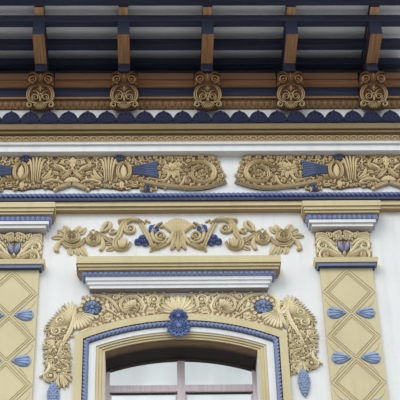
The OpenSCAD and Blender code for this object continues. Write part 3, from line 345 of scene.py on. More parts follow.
# %% [markdown]
# ## Timber, glass and tile
# The eaves are rough-sawn pine under oil paint and stain. Grain runs along each piece, so the noise
# is stretched along one axis, and every piece is darkened in its hollows as painted shade. Some pieces
# carry two paints: a rafter is blue but for its underside, and the timber cornice has an orange fascia
# under a brown one. The lining of the window's head, the frame's head under the arch and the tops of
# the sashes are painted near black where no light reaches, as painted shade. The old panes are milky
# over lace curtains, and their faint glow is a painted reflection of a pale sky. Roof tiles are fired
# clay, with painted shade in their hollows.

# %% Timber finish
ALONG, ACROSS = 1.2, 30
GRAIN_RUN = {"x": (ALONG, ACROSS, ACROSS), "y": (ACROSS, ALONG, ACROSS), "z": (ACROSS, ACROSS, ALONG)}


def timber(name, paint, worn, dark, along="x", streak=0.6, other=None, where=None, sides=None):
    """Painted timber: worn patches, streaks of dark along the grain, and painted shade in its hollows.

    where = (axis or "arch", sign, start, stop) says from where on the other colour lies: a second paint
    on the fascia and the rafters' ends, painted shade on the window and the lining. sides is a paint for
    every face that does not look down.
    """
    f = Finish(name)
    grain = f.noise(f.place(GRAIN_RUN[along]), 2.2, 6.0, 0.62)
    clouds = f.noise(f.place(), 3.1, 4.0).between(0.4, 0.7)
    colour = f.mix(clouds * grain.between(0.5, 0.7) * 0.6, paint, worn)
    colour = f.mix((1.0 - grain.between(0.36, 0.6)) * streak, colour, dark)
    if sides:
        colour = f.mix(f.underside(), sides, colour)
    if other:
        axis, sign, start, stop = where
        distance = f.axis(axis) if axis in "XYZ" else f.from_arch_centre()
        colour = f.mix((sign * distance).between(start, stop), colour, other)
    # Hollows take the dark colour as painted shade.
    colour = f.mix(f.hollows(0.03).between(0.2, 1.0) * 0.6, colour, dark)
    normal = f.bump(grain, 0.0015)
    rough = 0.6 + 0.3 * grain
    return f.surface(Base_Color=colour, Roughness=rough, Specular_IOR_Level=0.22, Normal=normal)


def sawn_end(node):
    """The last millimetres of a beam, towards the street."""
    return "Y", -1.0, proud(node) * MM - 0.003, proud(node) * MM - 0.001


def glazing():
    """Old milky glass whose faint glow is a painted reflection of a pale sky."""
    f = Finish("window_pane")
    waves = f.noise(f.place((3, 3, 1)), 1.4, 2.0)
    colour = f.mix(waves.between(0.3, 0.7), (0.22, 0.24, 0.25), (0.28, 0.30, 0.31))
    # The glow is a painted reflection of a pale sky.
    glow = f.mix(waves.between(0.3, 0.7), (0.62, 0.69, 0.69), (0.74, 0.79, 0.80))
    return f.surface(Base_Color=colour, Roughness=0.08, Specular_IOR_Level=0.4, Emission_Color=glow,
                     Emission_Strength=0.76, Normal=f.bump(waves, 0.003))


def clay():
    """Fired clay, mottled, and darker in its hollows as painted shade."""
    f = Finish("clay_tile")
    clouds = f.noise(f.place(), 9.0, 4.0).between(0.35, 0.65)
    grain = f.noise(f.place(), 120.0, 3.0)
    colour = f.mix(clouds, (0.34, 0.13, 0.07), (0.47, 0.21, 0.115))
    colour = f.mix(f.hollows(0.06).between(0.1, 0.9) * 0.8, colour, (0.10, 0.07, 0.06))
    return f.surface(Base_Color=colour, Roughness=0.8, Normal=f.bump(grain, 0.001))


print("timber, glass and tile functions ready")

# %% Timber, glass and tile in use
END_BLUE = (0.018, 0.022, 0.045)
TRANSOM_Z = 2701
FASCIA_H = 68
fascia_seam = (underside("timber_cornice") + FASCIA_H) * MM
# Beyond shade_r from the arch's centre the frame is near black, and so are the sashes above shade_z: painted
# shade under the arch and the transom.
shade_r, shade_z = ARCH_R - 20, TRANSOM_Z - 16
WINDOW_OIL = (0.72, 0.62, 0.65), (0.78, 0.70, 0.72), (0.44, 0.34, 0.36), "z", 0.3
window_paint = timber("window_oil_paint", *WINDOW_OIL, other=(0.016, 0.008, 0.009),
                      where=("arch", 1.0, shade_r * MM, (shade_r + 2) * MM))
sash_paint = timber("sash_oil_paint", *WINDOW_OIL, other=(0.02, 0.015, 0.02),
                    where=("Z", 1.0, shade_z * MM, (shade_z + 2) * MM))
fascia_paint = timber("fascia_stain", (0.21, 0.10, 0.045), (0.26, 0.15, 0.075), (0.10, 0.05, 0.025),
                      other=(0.185, 0.10, 0.058), where=("Z", 1.0, fascia_seam - 0.001, fascia_seam + 0.001))
brown_paint = timber("brown_stain", (0.20, 0.12, 0.07), (0.30, 0.21, 0.14), (0.08, 0.05, 0.03))
# The lining is brown in front and turns near black from 45 to 110 mm in: painted shade where no light
# reaches.
lining_paint = timber("reveal_lining_stain", (0.16, 0.10, 0.052), (0.20, 0.135, 0.072), (0.08, 0.048, 0.025),
                      other=(0.012, 0.007, 0.007), where=("Y", 1.0, 0.045, 0.11))
blue_beam = timber("dark_blue_oil_paint", (0.035, 0.04, 0.07), (0.06, 0.07, 0.11), (0.015, 0.015, 0.03))
rafter_paint = timber("rafter_stain", (0.38, 0.205, 0.10), (0.44, 0.29, 0.17), (0.17, 0.085, 0.045), "y",
                      other=END_BLUE, where=sawn_end("lower_rafters"), sides=END_BLUE)
upper_paint = timber("upper_rafter_stain", (0.60, 0.34, 0.18), (0.66, 0.44, 0.27), (0.26, 0.14, 0.07), "y",
                     other=END_BLUE, where=sawn_end("upper_rafters"), sides=END_BLUE)
board_paint = timber("soffit_board_paint", (0.94, 0.93, 0.95), (0.94, 0.94, 0.95), (0.84, 0.83, 0.85),
                     streak=0.3)
console_low = underside("consoles") * MM
# The consoles' carving is lighter yellow at its foot: painted light below and painted shade above.
console_paint = plaster("console_oil_paint", (0.49, 0.28, 0.135), (0.41, 0.22, 0.10), (0.07, 0.035, 0.018),
                        chip=(0.60, 0.42, 0.22), chips=0.3, amount=0.9,
                        foot=((0.66, 0.50, 0.26), console_low + 0.05, console_low + 0.19))
# Dark brown on the consoles' bodies behind their carving: painted shade between the forms.
console_ground = plaster("console_ground_painted_shade", (0.20, 0.095, 0.045), (0.15, 0.07, 0.035),
                         (0.03, 0.018, 0.01))
band_paint = plaster("leaf_band_oil_paint", (0.38, 0.225, 0.11), (0.30, 0.17, 0.08), (0.05, 0.03, 0.015),
                     chip=(0.52, 0.38, 0.20), chips=0.3, reach=0.02, amount=0.95)
glass = glazing()
tile = clay()
print("timber, glass and tile finishes ready")

# %% [markdown]
# ## Finishes for the measured pieces
# Mouldings, wall, frames and beams keep their measured shape and only get their finish. The slot
# of a node's mesh is replaced, and its geometry is left alone.

# %% Dress the measured pieces
DRESS = {
    white: ["pier_left", "pier_right", "wall_below_window", "wall_over_window",
            "surround_flat", "cornice_bed"],
    abacus_white: ["abacus_beds"],
    hood_white: ["hood_bed"],
    wall_top: ["wall_head"],
    shaft_paint: ["pilaster_left", "pilaster_right"],
    ochre: ["window_sill", "neck_bands", "abacus_tops", "string_band",
            "hood_top", "surround_band", "surround_fillets"],
    eaves_shaded: ["cornice_fascia"],
    base_paint: ["plinth"],
    neck_blue: ["neck_fillets"],
    fillet_shaded_blue: ["string_fillet"],
    window_paint: ["window_frame"],
    sash_paint: ["window_sashes"],
    glass: ["window_glass"],
    fascia_paint: ["timber_cornice"],
    brown_paint: ["end_boards", "roof_deck"],
    blue_beam: ["timber_cove", "console_pads", "purlins", "eaves_board"],
    rafter_paint: ["lower_rafters"],
    upper_paint: ["upper_rafters"],
}
for finish, names in DRESS.items():
    for name in names:
        nodes[name].data.materials.clear()
        nodes[name].data.materials.append(finish)
print("dressed", sum(map(len, DRESS.values())), "measured pieces")

# %% [markdown]
# ## Drawing planes
# Relief is drawn on a face as (u, v) in millimetres, with a third number for how far it stands out.
# A plane says where that face is: flat on the wall, leaning like the underside of a moulding, or
# turned round a corner. A flipped plane draws the mirror image, as two hands of one pattern.


# %% Planes to draw on
def plane(x=0.0, out=0.0, z=0.0, flip=False, lean=0.0, turn=0.0, tall=1.0):
    """A face at x, out from the wall, z. Lean tips its top outward; turn 90 faces right, -90 left."""
    a, b = math.radians(turn), math.radians(lean)
    street = np.array([math.sin(a), -math.cos(a), 0.0])
    across = np.array([math.cos(a), math.sin(a), 0.0]) * (-1 if flip else 1)
    rise = np.array([0.0, 0.0, 1.0])
    up = math.cos(b) * rise + math.sin(b) * street
    away = math.cos(b) * street - math.sin(b) * rise
    return np.array([across, up * tall, away, (x, -out, z)]) * MM


def mirrored(x=0.0, **where):
    """The two hands of a pattern about the line x."""
    return plane(x, **where), plane(x, flip=True, **where)


def planes_at(places, **where):
    """The same plane at each x of several places."""
    return [plane(x, **where) for x in places]


def hands_at(places, **where):
    """Both hands of a pattern about each x of several places."""
    return [hand for x in places for hand in mirrored(x, **where)]


print("a leaning plane:", plane(lean=30)[1].round(5))

# %% [markdown]
# ## Paths
# Scrolls, stems and leaves all start as a line. A free line goes smoothly through a few chosen
# points, a volute is a spiral, and a ring is an ellipse.


# %% Lines for stems and scrolls
def curve(*points, steps=6):
    """A smooth path through the points (Catmull-Rom), in so many steps between each two."""
    p = np.array([points[0], *points, points[-1]], float)
    t = np.linspace(0, 1, steps, endpoint=False)[:, None]
    runs = []
    for a, b, c, d in zip(p, p[1:], p[2:], p[3:]):
        square = 2 * a - 5 * b + 4 * c - d
        cube = 3 * b - a - 3 * c + d
        runs.append(0.5 * (2 * b + (c - a) * t + square * t**2 + cube * t**3))
    return np.vstack([*runs, p[-1:]])


def spiral(centre, r0, r1, start, turns):
    """From radius r0 in to r1, beginning at angle start; negative turns go clockwise."""
    t = np.linspace(0, 1, max(8, int(abs(turns) * 16)))
    angle = math.radians(start) + 2 * math.pi * turns * t
    r = r0 + (r1 - r0) * t
    return np.array(centre, float) + np.c_[r * np.cos(angle), r * np.sin(angle)]


def ring(centre, rx, rz, start=90, sweep=362):
    """An ellipse, or a part of one, from angle start."""
    angle = np.radians(np.linspace(start, start + sweep, max(6, int(sweep / 18))))
    return np.array(centre, float) + np.c_[rx * np.cos(angle), rz * np.sin(angle)]


def polar(centre, r, degrees):
    """The point at distance r from centre in the direction degrees."""
    a = math.radians(degrees)
    return centre[0] + r * math.cos(a), centre[1] + r * math.sin(a)


def distances(path):
    """How far along the path each of its points lies."""
    return np.r_[0, np.cumsum(np.hypot(*np.diff(path, axis=0).T))]


def walk(path, run, s):
    """Points at the distances s along a path, and the direction to the left of it at each."""
    at = np.c_[np.interp(s, run, path[:, 0]), np.interp(s, run, path[:, 1])]
    heading = np.gradient(at, s, axis=0)
    heading /= np.hypot(*heading.T)[:, None]
    return at, np.c_[-heading[:, 1], heading[:, 0]]


def eased(values, t):
    """Values spread evenly over t = 0 to 1, with soft steps between them."""
    values = np.atleast_1d(np.array(values, float))
    if len(values) == 1:
        return np.full(len(t), values[0])
    s = np.clip(t, 0, 1) * (len(values) - 1)
    i = np.minimum(s.astype(int), len(values) - 2)
    f = s - i
    f = f * f * (3 - 2 * f)
    return values[i] * (1 - f) + values[i + 1] * f


def inside(spots, outline):
    """Which of the spots lie inside a closed outline."""
    a = np.asarray(outline, float)
    b = np.roll(a, -1, axis=0) + (0, 1e-9)
    x, y = spots[:, :1], spots[:, 1:]
    crossed = (a[:, 1] > y) != (b[:, 1] > y)
    at = a[:, 0] + (y - a[:, 1]) * (b[:, 0] - a[:, 0]) / (b[:, 1] - a[:, 1])
    return (crossed & (x < at)).sum(axis=1) % 2 == 1


print("spiral of", len(spiral((0, 0), 100, 20, 0, 1.5)), "points")

# %% [markdown]
# ## The carving kit
# A modeller builds relief from rolls of soft plaster: each is laid along a line, swells and tapers,
# and is grooved or veined with a tool. `Carving.stroke` does the same with a cross-section swept
# along a path. Every stroke is a closed shell, so the mesh can be weighed or printed. Each starts a
# little under the face that it lies on.

# %% Cross-sections of a stroke
SECTIONS = {
    "round": [(-1, 0), (-0.9, 0.45), (-0.55, 0.85), (0, 1), (0.55, 0.85), (0.9, 0.45), (1, 0)],
    "grooved": [(-1, 0), (-0.9, 0.65), (-0.62, 1), (-0.3, 0.8), (0, 0.5), (0.3, 0.8), (0.62, 1), (0.9, 0.65),
                (1, 0)],
    "veined": [(-1, 0), (-0.92, 0.6), (-0.5, 0.5), (0, 1), (0.5, 0.5), (0.92, 0.6), (1, 0)],
    "cupped": [(-1, 0), (-0.95, 0.75), (-0.7, 1), (0, 0.45), (0.7, 1), (0.95, 0.75), (1, 0)],
}
SINK = 1.5
SHARP_ANGLE = 38
print("sections:", ", ".join(SECTIONS))


# %% The Carving class
class Carving:
    """Closed relief forms in millimetres, drawn on one or more planes and gathered in one mesh.

    gain scales the height of all its forms, swell the width of its strokes, and tip is the width of
    a leaf's end as a share of the leaf.
    """

    def __init__(self, *planes, gain=1.0, swell=1.0, tip=0.18, store=None, marks=None):
        self.planes = planes
        self.gain, self.swell, self.tip = gain, swell, tip
        self.store = [] if store is None else store
        self.marks = [] if marks is None else marks

    def on(self, *planes):
        """The same carving, drawn on other planes."""
        return Carving(*planes, gain=self.gain, swell=self.swell, tip=self.tip, store=self.store,
                       marks=self.marks)

    def rings(self, rings):
        """Closed rings of (u, v, out), joined one to the next and capped at both ends."""
        n, m = rings.shape[:2]
        flat = np.c_[rings.reshape(-1, 3), np.ones(n * m)]
        a = np.arange(m)
        b = (a + 1) % m
        i = np.arange(n - 1)[:, None] * m
        quads = np.stack([i + a, i + b, i + m + b, i + m + a], axis=-1).reshape(-1, 4)
        for where in self.planes:
            self.store.append((flat @ where, quads, (a[::-1], (n - 1) * m + a)))

    def moulding(self, section, x0, x1):
        """A straight moulding between two x; its section is given as points (height, out)."""
        self.rings(np.array([[(x, z, out) for z, out in section] for x in (x0, x1)]))

    def stroke(self, path, width, height, section="round", lift=0.0):
        """A swelling, tapering roll along a path, with a domed end at both sides."""
        path = np.asarray(path, float)
        run = distances(path)
        length = run[-1]
        r0 = min(np.atleast_1d(width)[0] / 2, length / 2)
        r1 = min(np.atleast_1d(width)[-1] / 2, length / 2)
        near = np.array([0.02, 0.2, 0.55])
        s = np.unique(np.r_[near * r0, np.linspace(r0, length - r1, len(path)), length - near * r1])
        t = s / length
        at, side = walk(path, run, s)
        ends = np.minimum(np.minimum(s / max(r0, 1e-6), (length - s) / max(r1, 1e-6)), 1)
        dome = np.sqrt(np.maximum(1 - (1 - ends) ** 2, 0.01))
        w = self.swell * eased(width, t) / 2 * dome
        h = self.gain * eased(height, t) * (0.3 + 0.7 * dome)
        a, b = np.array(SECTIONS[section], float).T
        points = at[:, None, :] + side[:, None, :] * (w[:, None] * a)[:, :, None]
        out = lift - SINK + h[:, None] * b
        self.marks.append(np.c_[at, w])
        self.rings(np.dstack([points, out[:, :, None]]))

    def leaf(self, start, tip, width, height, bend=0.0, section="veined", lift=0.0):
        """A pointed leaf; bend bows it to the left of its line, as a share of its length."""
        p, q = np.array(start, float), np.array(tip, float)
        along = q - p
        mid = (p + q) / 2 + bend * np.array([-along[1], along[0]])
        widths = (0.35 * width, width, 0.85 * width, self.tip * width)
        heights = (0.7 * height, height, 0.6 * height)
        self.stroke(curve(p, mid, q, steps=5), widths, heights, section, lift)

    def leaves(self, bend, height, *drawn):
        """Several leaves, each given as (start, tip, width)."""
        for start, tip, width in drawn:
            self.leaf(start, tip, width, height, bend)

    def spray(self, hub, tips, width, height):
        """Leaves from one hub to each tip, bowed to either side in turn, and a slim one beside each."""
        for k, tip in enumerate(tips):
            hand = (-1) ** k
            along = np.subtract(tip, hub)
            across = np.array([-along[1], along[0]]) * hand
            self.leaf(hub + 0.12 * along, tip, 0.74 * width, height, 0.1 * hand)
            slim_tip = hub + 0.84 * along + 0.24 * across
            self.leaf(hub + 0.3 * along, slim_tip, 0.5 * width, 0.86 * height, 0.1 * hand)

    def bead(self, centre, rx, rz=None, height=None, lift=0.0, sides=10):
        """A rounded boss, round or elliptical."""
        rz = rx if rz is None else rz
        height = self.gain * (0.8 * rx if height is None else height)
        angle = np.arange(sides) * 2 * math.pi / sides
        rings = []
        for level in np.radians([0, 30, 58, 82]):
            u = centre[0] + rx * math.cos(level) * np.cos(angle)
            v = centre[1] + rz * math.cos(level) * np.sin(angle)
            rings.append(np.c_[u, v, np.full(sides, lift - SINK + height * math.sin(level))])
        self.marks.append(np.array([[*centre, max(rx, rz)]]))
        self.rings(np.array(rings))

    def plate(self, outline, low, high):
        """A flat piece of the given outline, between two levels."""
        outline = np.asarray(outline, float)
        self.rings(np.array([np.c_[outline, np.full(len(outline), h)] for h in (low, high)]))

    def volute(self, centre, r, start, turns, width, height, section="round"):
        """A scroll that closes on a boss."""
        path = spiral(centre, r - width / 2, 0.36 * r, start, turns)
        self.stroke(path, (width, width, 0.7 * width), height, section)
        self.bead(centre, 0.3 * r, height=height)

    def fan(self, centre, r, start, stop, count, inner=0.15, height=16.0, section="round", lift=0.0):
        """Ribs that spread from a point, as in a shell."""
        chord = r * math.radians(abs(stop - start)) / (count - 1)
        widths = (0.25 * chord, 0.5 * chord, 0.98 * chord, 0.8 * chord)
        for angle in np.linspace(start, stop, count):
            line = [polar(centre, k * r, angle) for k in (inner, 0.45, 0.8, 1.0)]
            self.stroke(line, widths, height, section, lift)

    def flower(self, centre, r, petals=6, height=16.0, turned=0.0, lift=0.0):
        """Cupped petals round an eye."""
        wide = 2 * r * math.sin(math.pi / petals) * 0.86
        widths = (0.3 * wide, 0.8 * wide, wide, 0.6 * wide)
        for k in range(petals):
            angle = turned + 360 * k / petals
            line = [polar(centre, d * r, angle) for d in (0.16, 0.45, 0.75, 1.0)]
            self.stroke(line, widths, height, "cupped", lift)
        self.bead(centre, 0.26 * r, height=height * 1.15, lift=lift)

    def fill(self, outline, seed, smallest, largest, height, tries=2600):
        """Small curls and leaves wherever the ground inside the outline is still bare."""
        rng = np.random.default_rng(seed)
        corners = np.array(outline, float)
        spots = rng.uniform(corners.min(0), corners.max(0), (tries, 2))
        count = 0
        for spot in spots[inside(spots, corners)]:
            marks = np.vstack(self.marks)
            r = min(np.min(np.hypot(*(marks[:, :2] - spot).T) - marks[:, 2]), largest)
            if r < smallest:
                continue
            turn = rng.uniform(0, 360)
            if r > 0.8 * largest:
                self.volute(spot, r + 3, turn, 1.1, 0.55 * r, height)
            else:
                foot, tip = polar(spot, r + 8, turn + 180), polar(spot, r + 10, turn)
                self.leaf(foot, tip, 1.35 * r, height, 0.3, section="round")
            count += 1
        return count

    def mesh(self, name, ends=None):
        """One mesh of everything drawn; ends cuts it square at those two x."""
        points, faces, base = [], [], 0
        for where, quads, caps in self.store:
            points.append(where)
            faces.extend((quads + base).tolist())
            faces.extend((cap + base).tolist() for cap in caps)
            base += len(where)
        mesh = bpy.data.meshes.new(name)
        mesh.from_pydata(np.vstack(points).tolist(), [], faces)
        bm = bmesh.new()
        bm.from_mesh(mesh)
        for x, facing in zip(ends or (), (-1, 1)):
            everything = bm.verts[:] + bm.edges[:] + bm.faces[:]
            bmesh.ops.bisect_plane(bm, geom=everything, plane_co=(x * MM, 0, 0), plane_no=(facing, 0, 0),
                                   clear_outer=True)
            bmesh.ops.holes_fill(bm, edges=[e for e in bm.edges if e.is_boundary])
        bmesh.ops.recalc_face_normals(bm, faces=bm.faces)
        bm.to_mesh(mesh)
        bm.free()
        mesh.shade_smooth()
        mesh.set_sharp_from_angle(angle=math.radians(SHARP_ANGLE))
        return mesh


trial = Carving(plane())
trial.leaf((0, 0), (0, 100), 30, 20)
print("one leaf has", len(trial.store[0][0]), "points")


# %% Turn a carving into a piece
def piece(name, carving, slot, finish, *stands_for, ends=None):
    """Adds the carving as one object that rides on the wall and replaces the named nodes."""
    obj = bpy.data.objects.new(name, carving.mesh(name, ends))
    bpy.context.scene.collection.objects.link(obj)
    obj.data.materials.append(finish)
    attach(obj, "root")
    if stands_for:
        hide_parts(*stands_for)
    print(f"{name}: {sum(len(p.vertices) - 2 for p in obj.data.polygons)} triangles")


# %% [markdown]
# ## Frieze
# Two long panels of cast ornament run between the string band and the cornice. Each is the same on
# both sides of a palmette: a trumpet of flutes, a ringed bud, a blue shell, a burst of blades and one
# large scroll on a running stem. One half is drawn, and four planes repeat it. The plaster behind is
# a plate with a cut-out lower edge. Where the panels run past the bay they are cut at its party ends.

# %% Frieze ground
GROUND_T = 12
PANEL_GAP, PANEL_DROP = 50, 339
gap_x = span("frieze_panel_right", "x")[0] - PANEL_GAP / 2
palmette_xs = (gap_x - pilaster_x, gap_x + pilaster_x)
frieze_low = cornice_low - PANEL_DROP
FRIEZE_EDGE = [(-1, 86), (48, 78), (92, 40), (112, 22), (140, 40), (200, 56), (300, 42), (345, 26),
               (400, 46), (470, 50), (506, 14), (558, 14), (594, 52), (640, 44), (720, 52), (800, 36),
               (880, 26), (940, 32), (1000, 56), (1060, 84), (1086, 96), (1062, 120), (1072, 160),
               (1050, 190), (1056, 235), (1022, 255), (1030, 296), (1006, 338), (-1, 338)]
frieze_hands = hands_at(palmette_xs, z=frieze_low, out=GROUND_T)
plates = Carving(*hands_at(palmette_xs, z=frieze_low))
plates.plate(FRIEZE_EDGE, -1, GROUND_T)
piece("frieze_ground", plates, "ochre_plaster", ground, "frieze_panel_left", "frieze_panel_right",
      ends=party_ends)

# %% Frieze shells and flowers in blue
frieze_blue = Carving(*frieze_hands)
for k in range(7):
    ridge = curve((424, 172 + 9 * k), (510, 158 + 14 * k), (600 + 5 * math.sin(1.2 * k), 132 + 23 * k))
    frieze_blue.stroke(ridge, (12, 17, 24, 23), (20, 32, 30))
frieze_blue.volute((532, 36), 26, 40, 1.3, 13, 24)
frieze_blue.flower((331, 318), 29, 6, 24)
piece("frieze_shells_blue", frieze_blue, "blue_plaster", shell_blue, "frieze_shells", ends=party_ends)

# %% Frieze palmette, buds, trumpet and ring
frieze = Carving(*frieze_hands, swell=1.2, marks=frieze_blue.marks)
middle = frieze.on(*planes_at(palmette_xs, z=frieze_low, out=GROUND_T))
middle.leaf((0, 232), (0, 336), 44, 24)
middle.fan((0, 84), 60, 24, 156, 7, height=18)
middle.bead((0, 218), 13, 18, 20)
frieze.volute((46, 274), 37, 200, -1.25, 14, 22)
frieze.stroke(curve((64, 200), (112, 226), (122, 270), (92, 318)), (10, 18, 18, 8), 20, "grooved")
frieze.stroke(curve((4, 206), (34, 168), (70, 124)), (18, 28, 22), 24, "grooved")
frieze.stroke(curve((2, 80), (55, 64), (112, 34)), (24, 30, 22), 20, "grooved")
frieze.bead((112, 32), 16)
frieze.stroke(curve((60, 84), (96, 110), (150, 110), (196, 92), (188, 72), (152, 74)), (14, 21, 18, 12), 20)
frieze.leaves(0.12, 20, ((42, 190), (162, 258), 30), ((92, 166), (150, 184), 24),
              ((214, 112), (146, 230), 23), ((210, 106), (124, 180), 20), ((204, 98), (116, 148), 18))
for k in range(-2, 3):
    top = (254 + 27 * k - (14 if k == -2 else 0), 334 - 7 * k * k)
    flute = curve((254 + 11 * k, 104), (254 + 15 * k, 205), (254 + 21 * k, 284), top)
    frieze.stroke(flute, (7, 11, 16, 15), (16, 24, 24, 18))
frieze.stroke(ring((363, 198), 45, 76), 21, 22, "grooved")
frieze.leaf((362, 132), (357, 258), 42, 22, section="round")
frieze.leaves(0.0, 18, ((348, 108), (346, 32), 28), ((404, 74), (468, 56), 24), ((322, 60), (318, 92), 18))
frieze.bead((392, 322), 18, 14)
print("palmette, trumpet and ring drawn")

# %% Frieze stem, burst and scroll
stem = curve((418, 122), (536, 86), (641, 64), (750, 48), (850, 38), (940, 46), (1010, 66), (1082, 92))
frieze.stroke(stem, (12, 26, 28, 27, 24, 19, 8), 22, "grooved")
frieze.stroke(curve((560, 126), (640, 108), (676, 152), (668, 190)), (10, 18, 14), 19)
burst, blades = (702, 208), 10
for k in range(blades):
    angle = 16 + 360 / blades * k
    frieze.leaf(polar(burst, 12, angle), polar(burst, 76 + 9 * (k % 2), angle + 8), 26, 21, 0.10)
frieze.bead(burst, 15, height=24)
frieze.stroke(spiral((908, 170), 118, 42, 150, -1.42), (16, 30, 28, 21, 14), 25, "grooved")
frieze.flower((912, 172), 32, 7, 22)
frieze.stroke(curve((742, 48), (778, 94), (792, 150)), (12, 20, 16), 20)
SMALL_SCROLLS = (
    (634, 272, 31, 300, 1.3), (690, 312, 27, 200, -1.2), (762, 300, 26, 30, 1.2),
    (830, 324, 23, 250, -1.2), (905, 318, 25, 300, 1.2), (978, 316, 22, 200, -1.2),
    (1030, 222, 27, 120, -1.2), (1040, 146, 25, 90, -1.2), (811, 96, 26, 0, 1.2),
    (742, 100, 24, 180, -1.2), (586, 322, 22, 30, 1.1), (480, 318, 24, 120, -1.2),
    (436, 296, 19, 60, 1.1),
)
for x, z, r, start, turns in SMALL_SCROLLS:
    frieze.volute((x, z), r, start, turns, 12, 20)
frieze.leaves(0.1, 19, ((760, 240), (750, 290), 22), ((800, 275), (846, 302), 22),
              ((850, 292), (868, 326), 18), ((960, 290), (1012, 330), 22), ((1010, 264), (1046, 282), 19),
              ((1014, 186), (1066, 190), 20), ((1008, 104), (1060, 116), 20), ((934, 56), (966, 96), 17),
              ((870, 48), (880, 22), 22), ((800, 48), (780, 24), 20), ((660, 68), (638, 34), 22),
              ((590, 80), (568, 52), 20), ((560, 308), (536, 332), 18), ((620, 196), (600, 166), 16))
piece("frieze_carving", frieze, "ochre_plaster", carved, ends=party_ends)

# %% Small forms between the frieze's scrolls
infill = Carving(*frieze_hands, swell=1.15, marks=frieze.marks)
count = infill.fill(FRIEZE_EDGE, 7, smallest=6.5, largest=15, height=13)
piece("frieze_infill", infill, "ochre_plaster", carved, ends=party_ends)
print(count, "small forms in each half panel")

# %% [markdown]
# ## Garland over the window
# Between hood and string band hangs a garland: a domed shell in the middle, a stem that arches to
# each side, ringed flowers at the ends and blue flowers between them. It stands free on the white
# wall, so it has no ground plate, and each stroke is thicker than in the frieze. It hangs a little
# left of the window's middle, as on the real wall.

# %% Garland shell
GARLAND = {"x": -8, "z": hood_high - 17}
garland = Carving(*mirrored(**GARLAND), swell=1.5, tip=0.42)
garland_mid = garland.on(plane(**GARLAND))
for k in range(7):
    hand = garland if k else garland_mid
    rib = curve((20 * k, 442 - 2.4 * k * k), (15.5 * k, 372), (4 * k, 292))
    hand.stroke(rib, (18, 20, 8), (20, 27, 20))
garland_mid.stroke(curve((0, 330), (0, 240), (0, 160)), (16, 26, 32, 12), 30, "veined")
garland.stroke(curve((12, 330), (24, 240), (50, 166)), (14, 24, 30, 12), 28, "veined")
garland.stroke(curve((30, 330), (50, 262), (84, 206)), (14, 22, 24, 12), 25)
garland.stroke(curve((104, 402), (150, 372), (176, 310), (160, 246), (116, 224), (78, 238)),
               (12, 20, 20, 14), 25)
garland.stroke(curve((64, 270), (92, 216), (136, 190), (186, 170)), (10, 26, 26, 12), 24, "grooved")
garland.volute((118, 284), 47, 250, 1.25, 17, 27)
garland.leaf((150, 226), (192, 150), 26, 22)
print("shell drawn")

# %% Garland stems
garland.stroke(curve((176, 196), (214, 300), (256, 400)), (20, 27, 24), 26, "grooved")
vine_stem = curve((232, 392), (262, 414), (312, 430), (362, 402), (388, 344), (402, 290), (432, 232),
                  (420, 186), (390, 172), (346, 188), (322, 236))
garland.stroke(vine_stem, (16, 29, 30, 28, 25, 19, 14), 26, "grooved")
for x, z, r in ((198, 412, 13), (216, 424, 13), (228, 404, 12)):
    garland.bead((x, z), r, height=18)
garland.stroke(curve((266, 424), (338, 434), (412, 420)), (20, 25, 22), 27)
garland.volute((326, 346), 50, 60, -1.45, 17, 24)
garland.volute((446, 322), 32, 210, -1.2, 15, 22)
for x in (350, 370, 390, 410):
    garland.leaf((384 + 0.4 * (x - 384), 190), (x, 272), 21, 22, section="round")
garland.leaves(0.0, 22, ((352, 416), (410, 400), 30), ((440, 266), (500, 258), 28),
               ((436, 236), (497, 220), 28), ((428, 200), (489, 168), 28))
garland.stroke(curve((520, 316), (512, 364), (486, 402), (462, 394), (474, 352), (508, 322)),
               (16, 24, 22, 16), 23)
garland.stroke(curve((566, 322), (512, 286), (440, 222)), (18, 27, 22), 24, "grooved")
garland.stroke(curve((522, 276), (508, 214), (528, 162)), (20, 25, 22), 24)
garland.stroke(curve((772, 262), (812, 222), (826, 172), (800, 164)), (20, 25, 20), 24)
garland.stroke(curve((792, 250), (744, 202), (690, 200), (652, 232), (628, 270)),
               (16, 29, 27, 16), 26, "grooved")
print("stems drawn")

# %% Garland end flowers
for centre, r, petals in (((576, 260), 39, 5), ((722, 280), 44, 6)):
    garland.stroke(ring(centre, r, r), 23, 26, "grooved")
    garland.flower(centre, 0.66 * r, petals, 20)
for x, z in ((560, 334), (578, 348), (596, 334)):
    garland.bead((x, z), 12)
garland.leaves(0.08, 24, ((744, 318), (784, 380), 32), ((762, 302), (824, 338), 32),
               ((772, 279), (860, 276), 32), ((702, 318), (668, 382), 32), ((684, 308), (626, 364), 30),
               ((722, 212), (720, 128), 33), ((688, 208), (668, 128), 33), ((656, 214), (616, 120), 35))
piece("garland_carving", garland, "ochre_plaster", vine, "garland")

# %% Garland flowers in blue
posies = Carving(*mirrored(**GARLAND))
for x, z, r, lift in ((166, 344, 38, 6), (240, 262, 34, 3), (272, 234, 28, 4), (224, 224, 26, 5)):
    posies.flower((x, z), r, 5, 20, 40, lift=lift)
    posies.bead((x, z), 0.5 * r, height=lift + 8)
piece("garland_posies", posies, "blue_plaster", posy_blue, "garland_flowers")

# %% [markdown]
# ## Crest round the window head
# The densest carving frames the head of the window and turns down at both sides like a curtain. It
# is drawn on thin ground plates: leaves in medallions, blue flowers in a ring of small petals, a
# fan at each corner, spiky leaf clusters down the sides, and a blue cone as a pendant. The two
# hands were cast from one model, but the right one was cut shorter, so it sits on its own planes.
# A plain strip of leaves covers the joint that this leaves on the right.

# %% Crest planes and ground
CREST_T = 8
KEY_X = -16
RIGHT_SHIFT = -36
RIGHT_SIDE = {"z": hood_low + 36, "tall": 0.933}


def head(x):
    """Height of the surround's outer edge above the crest's datum, at x from the middle."""
    return arch_centre + math.sqrt(head_r**2 - x**2) - hood_low


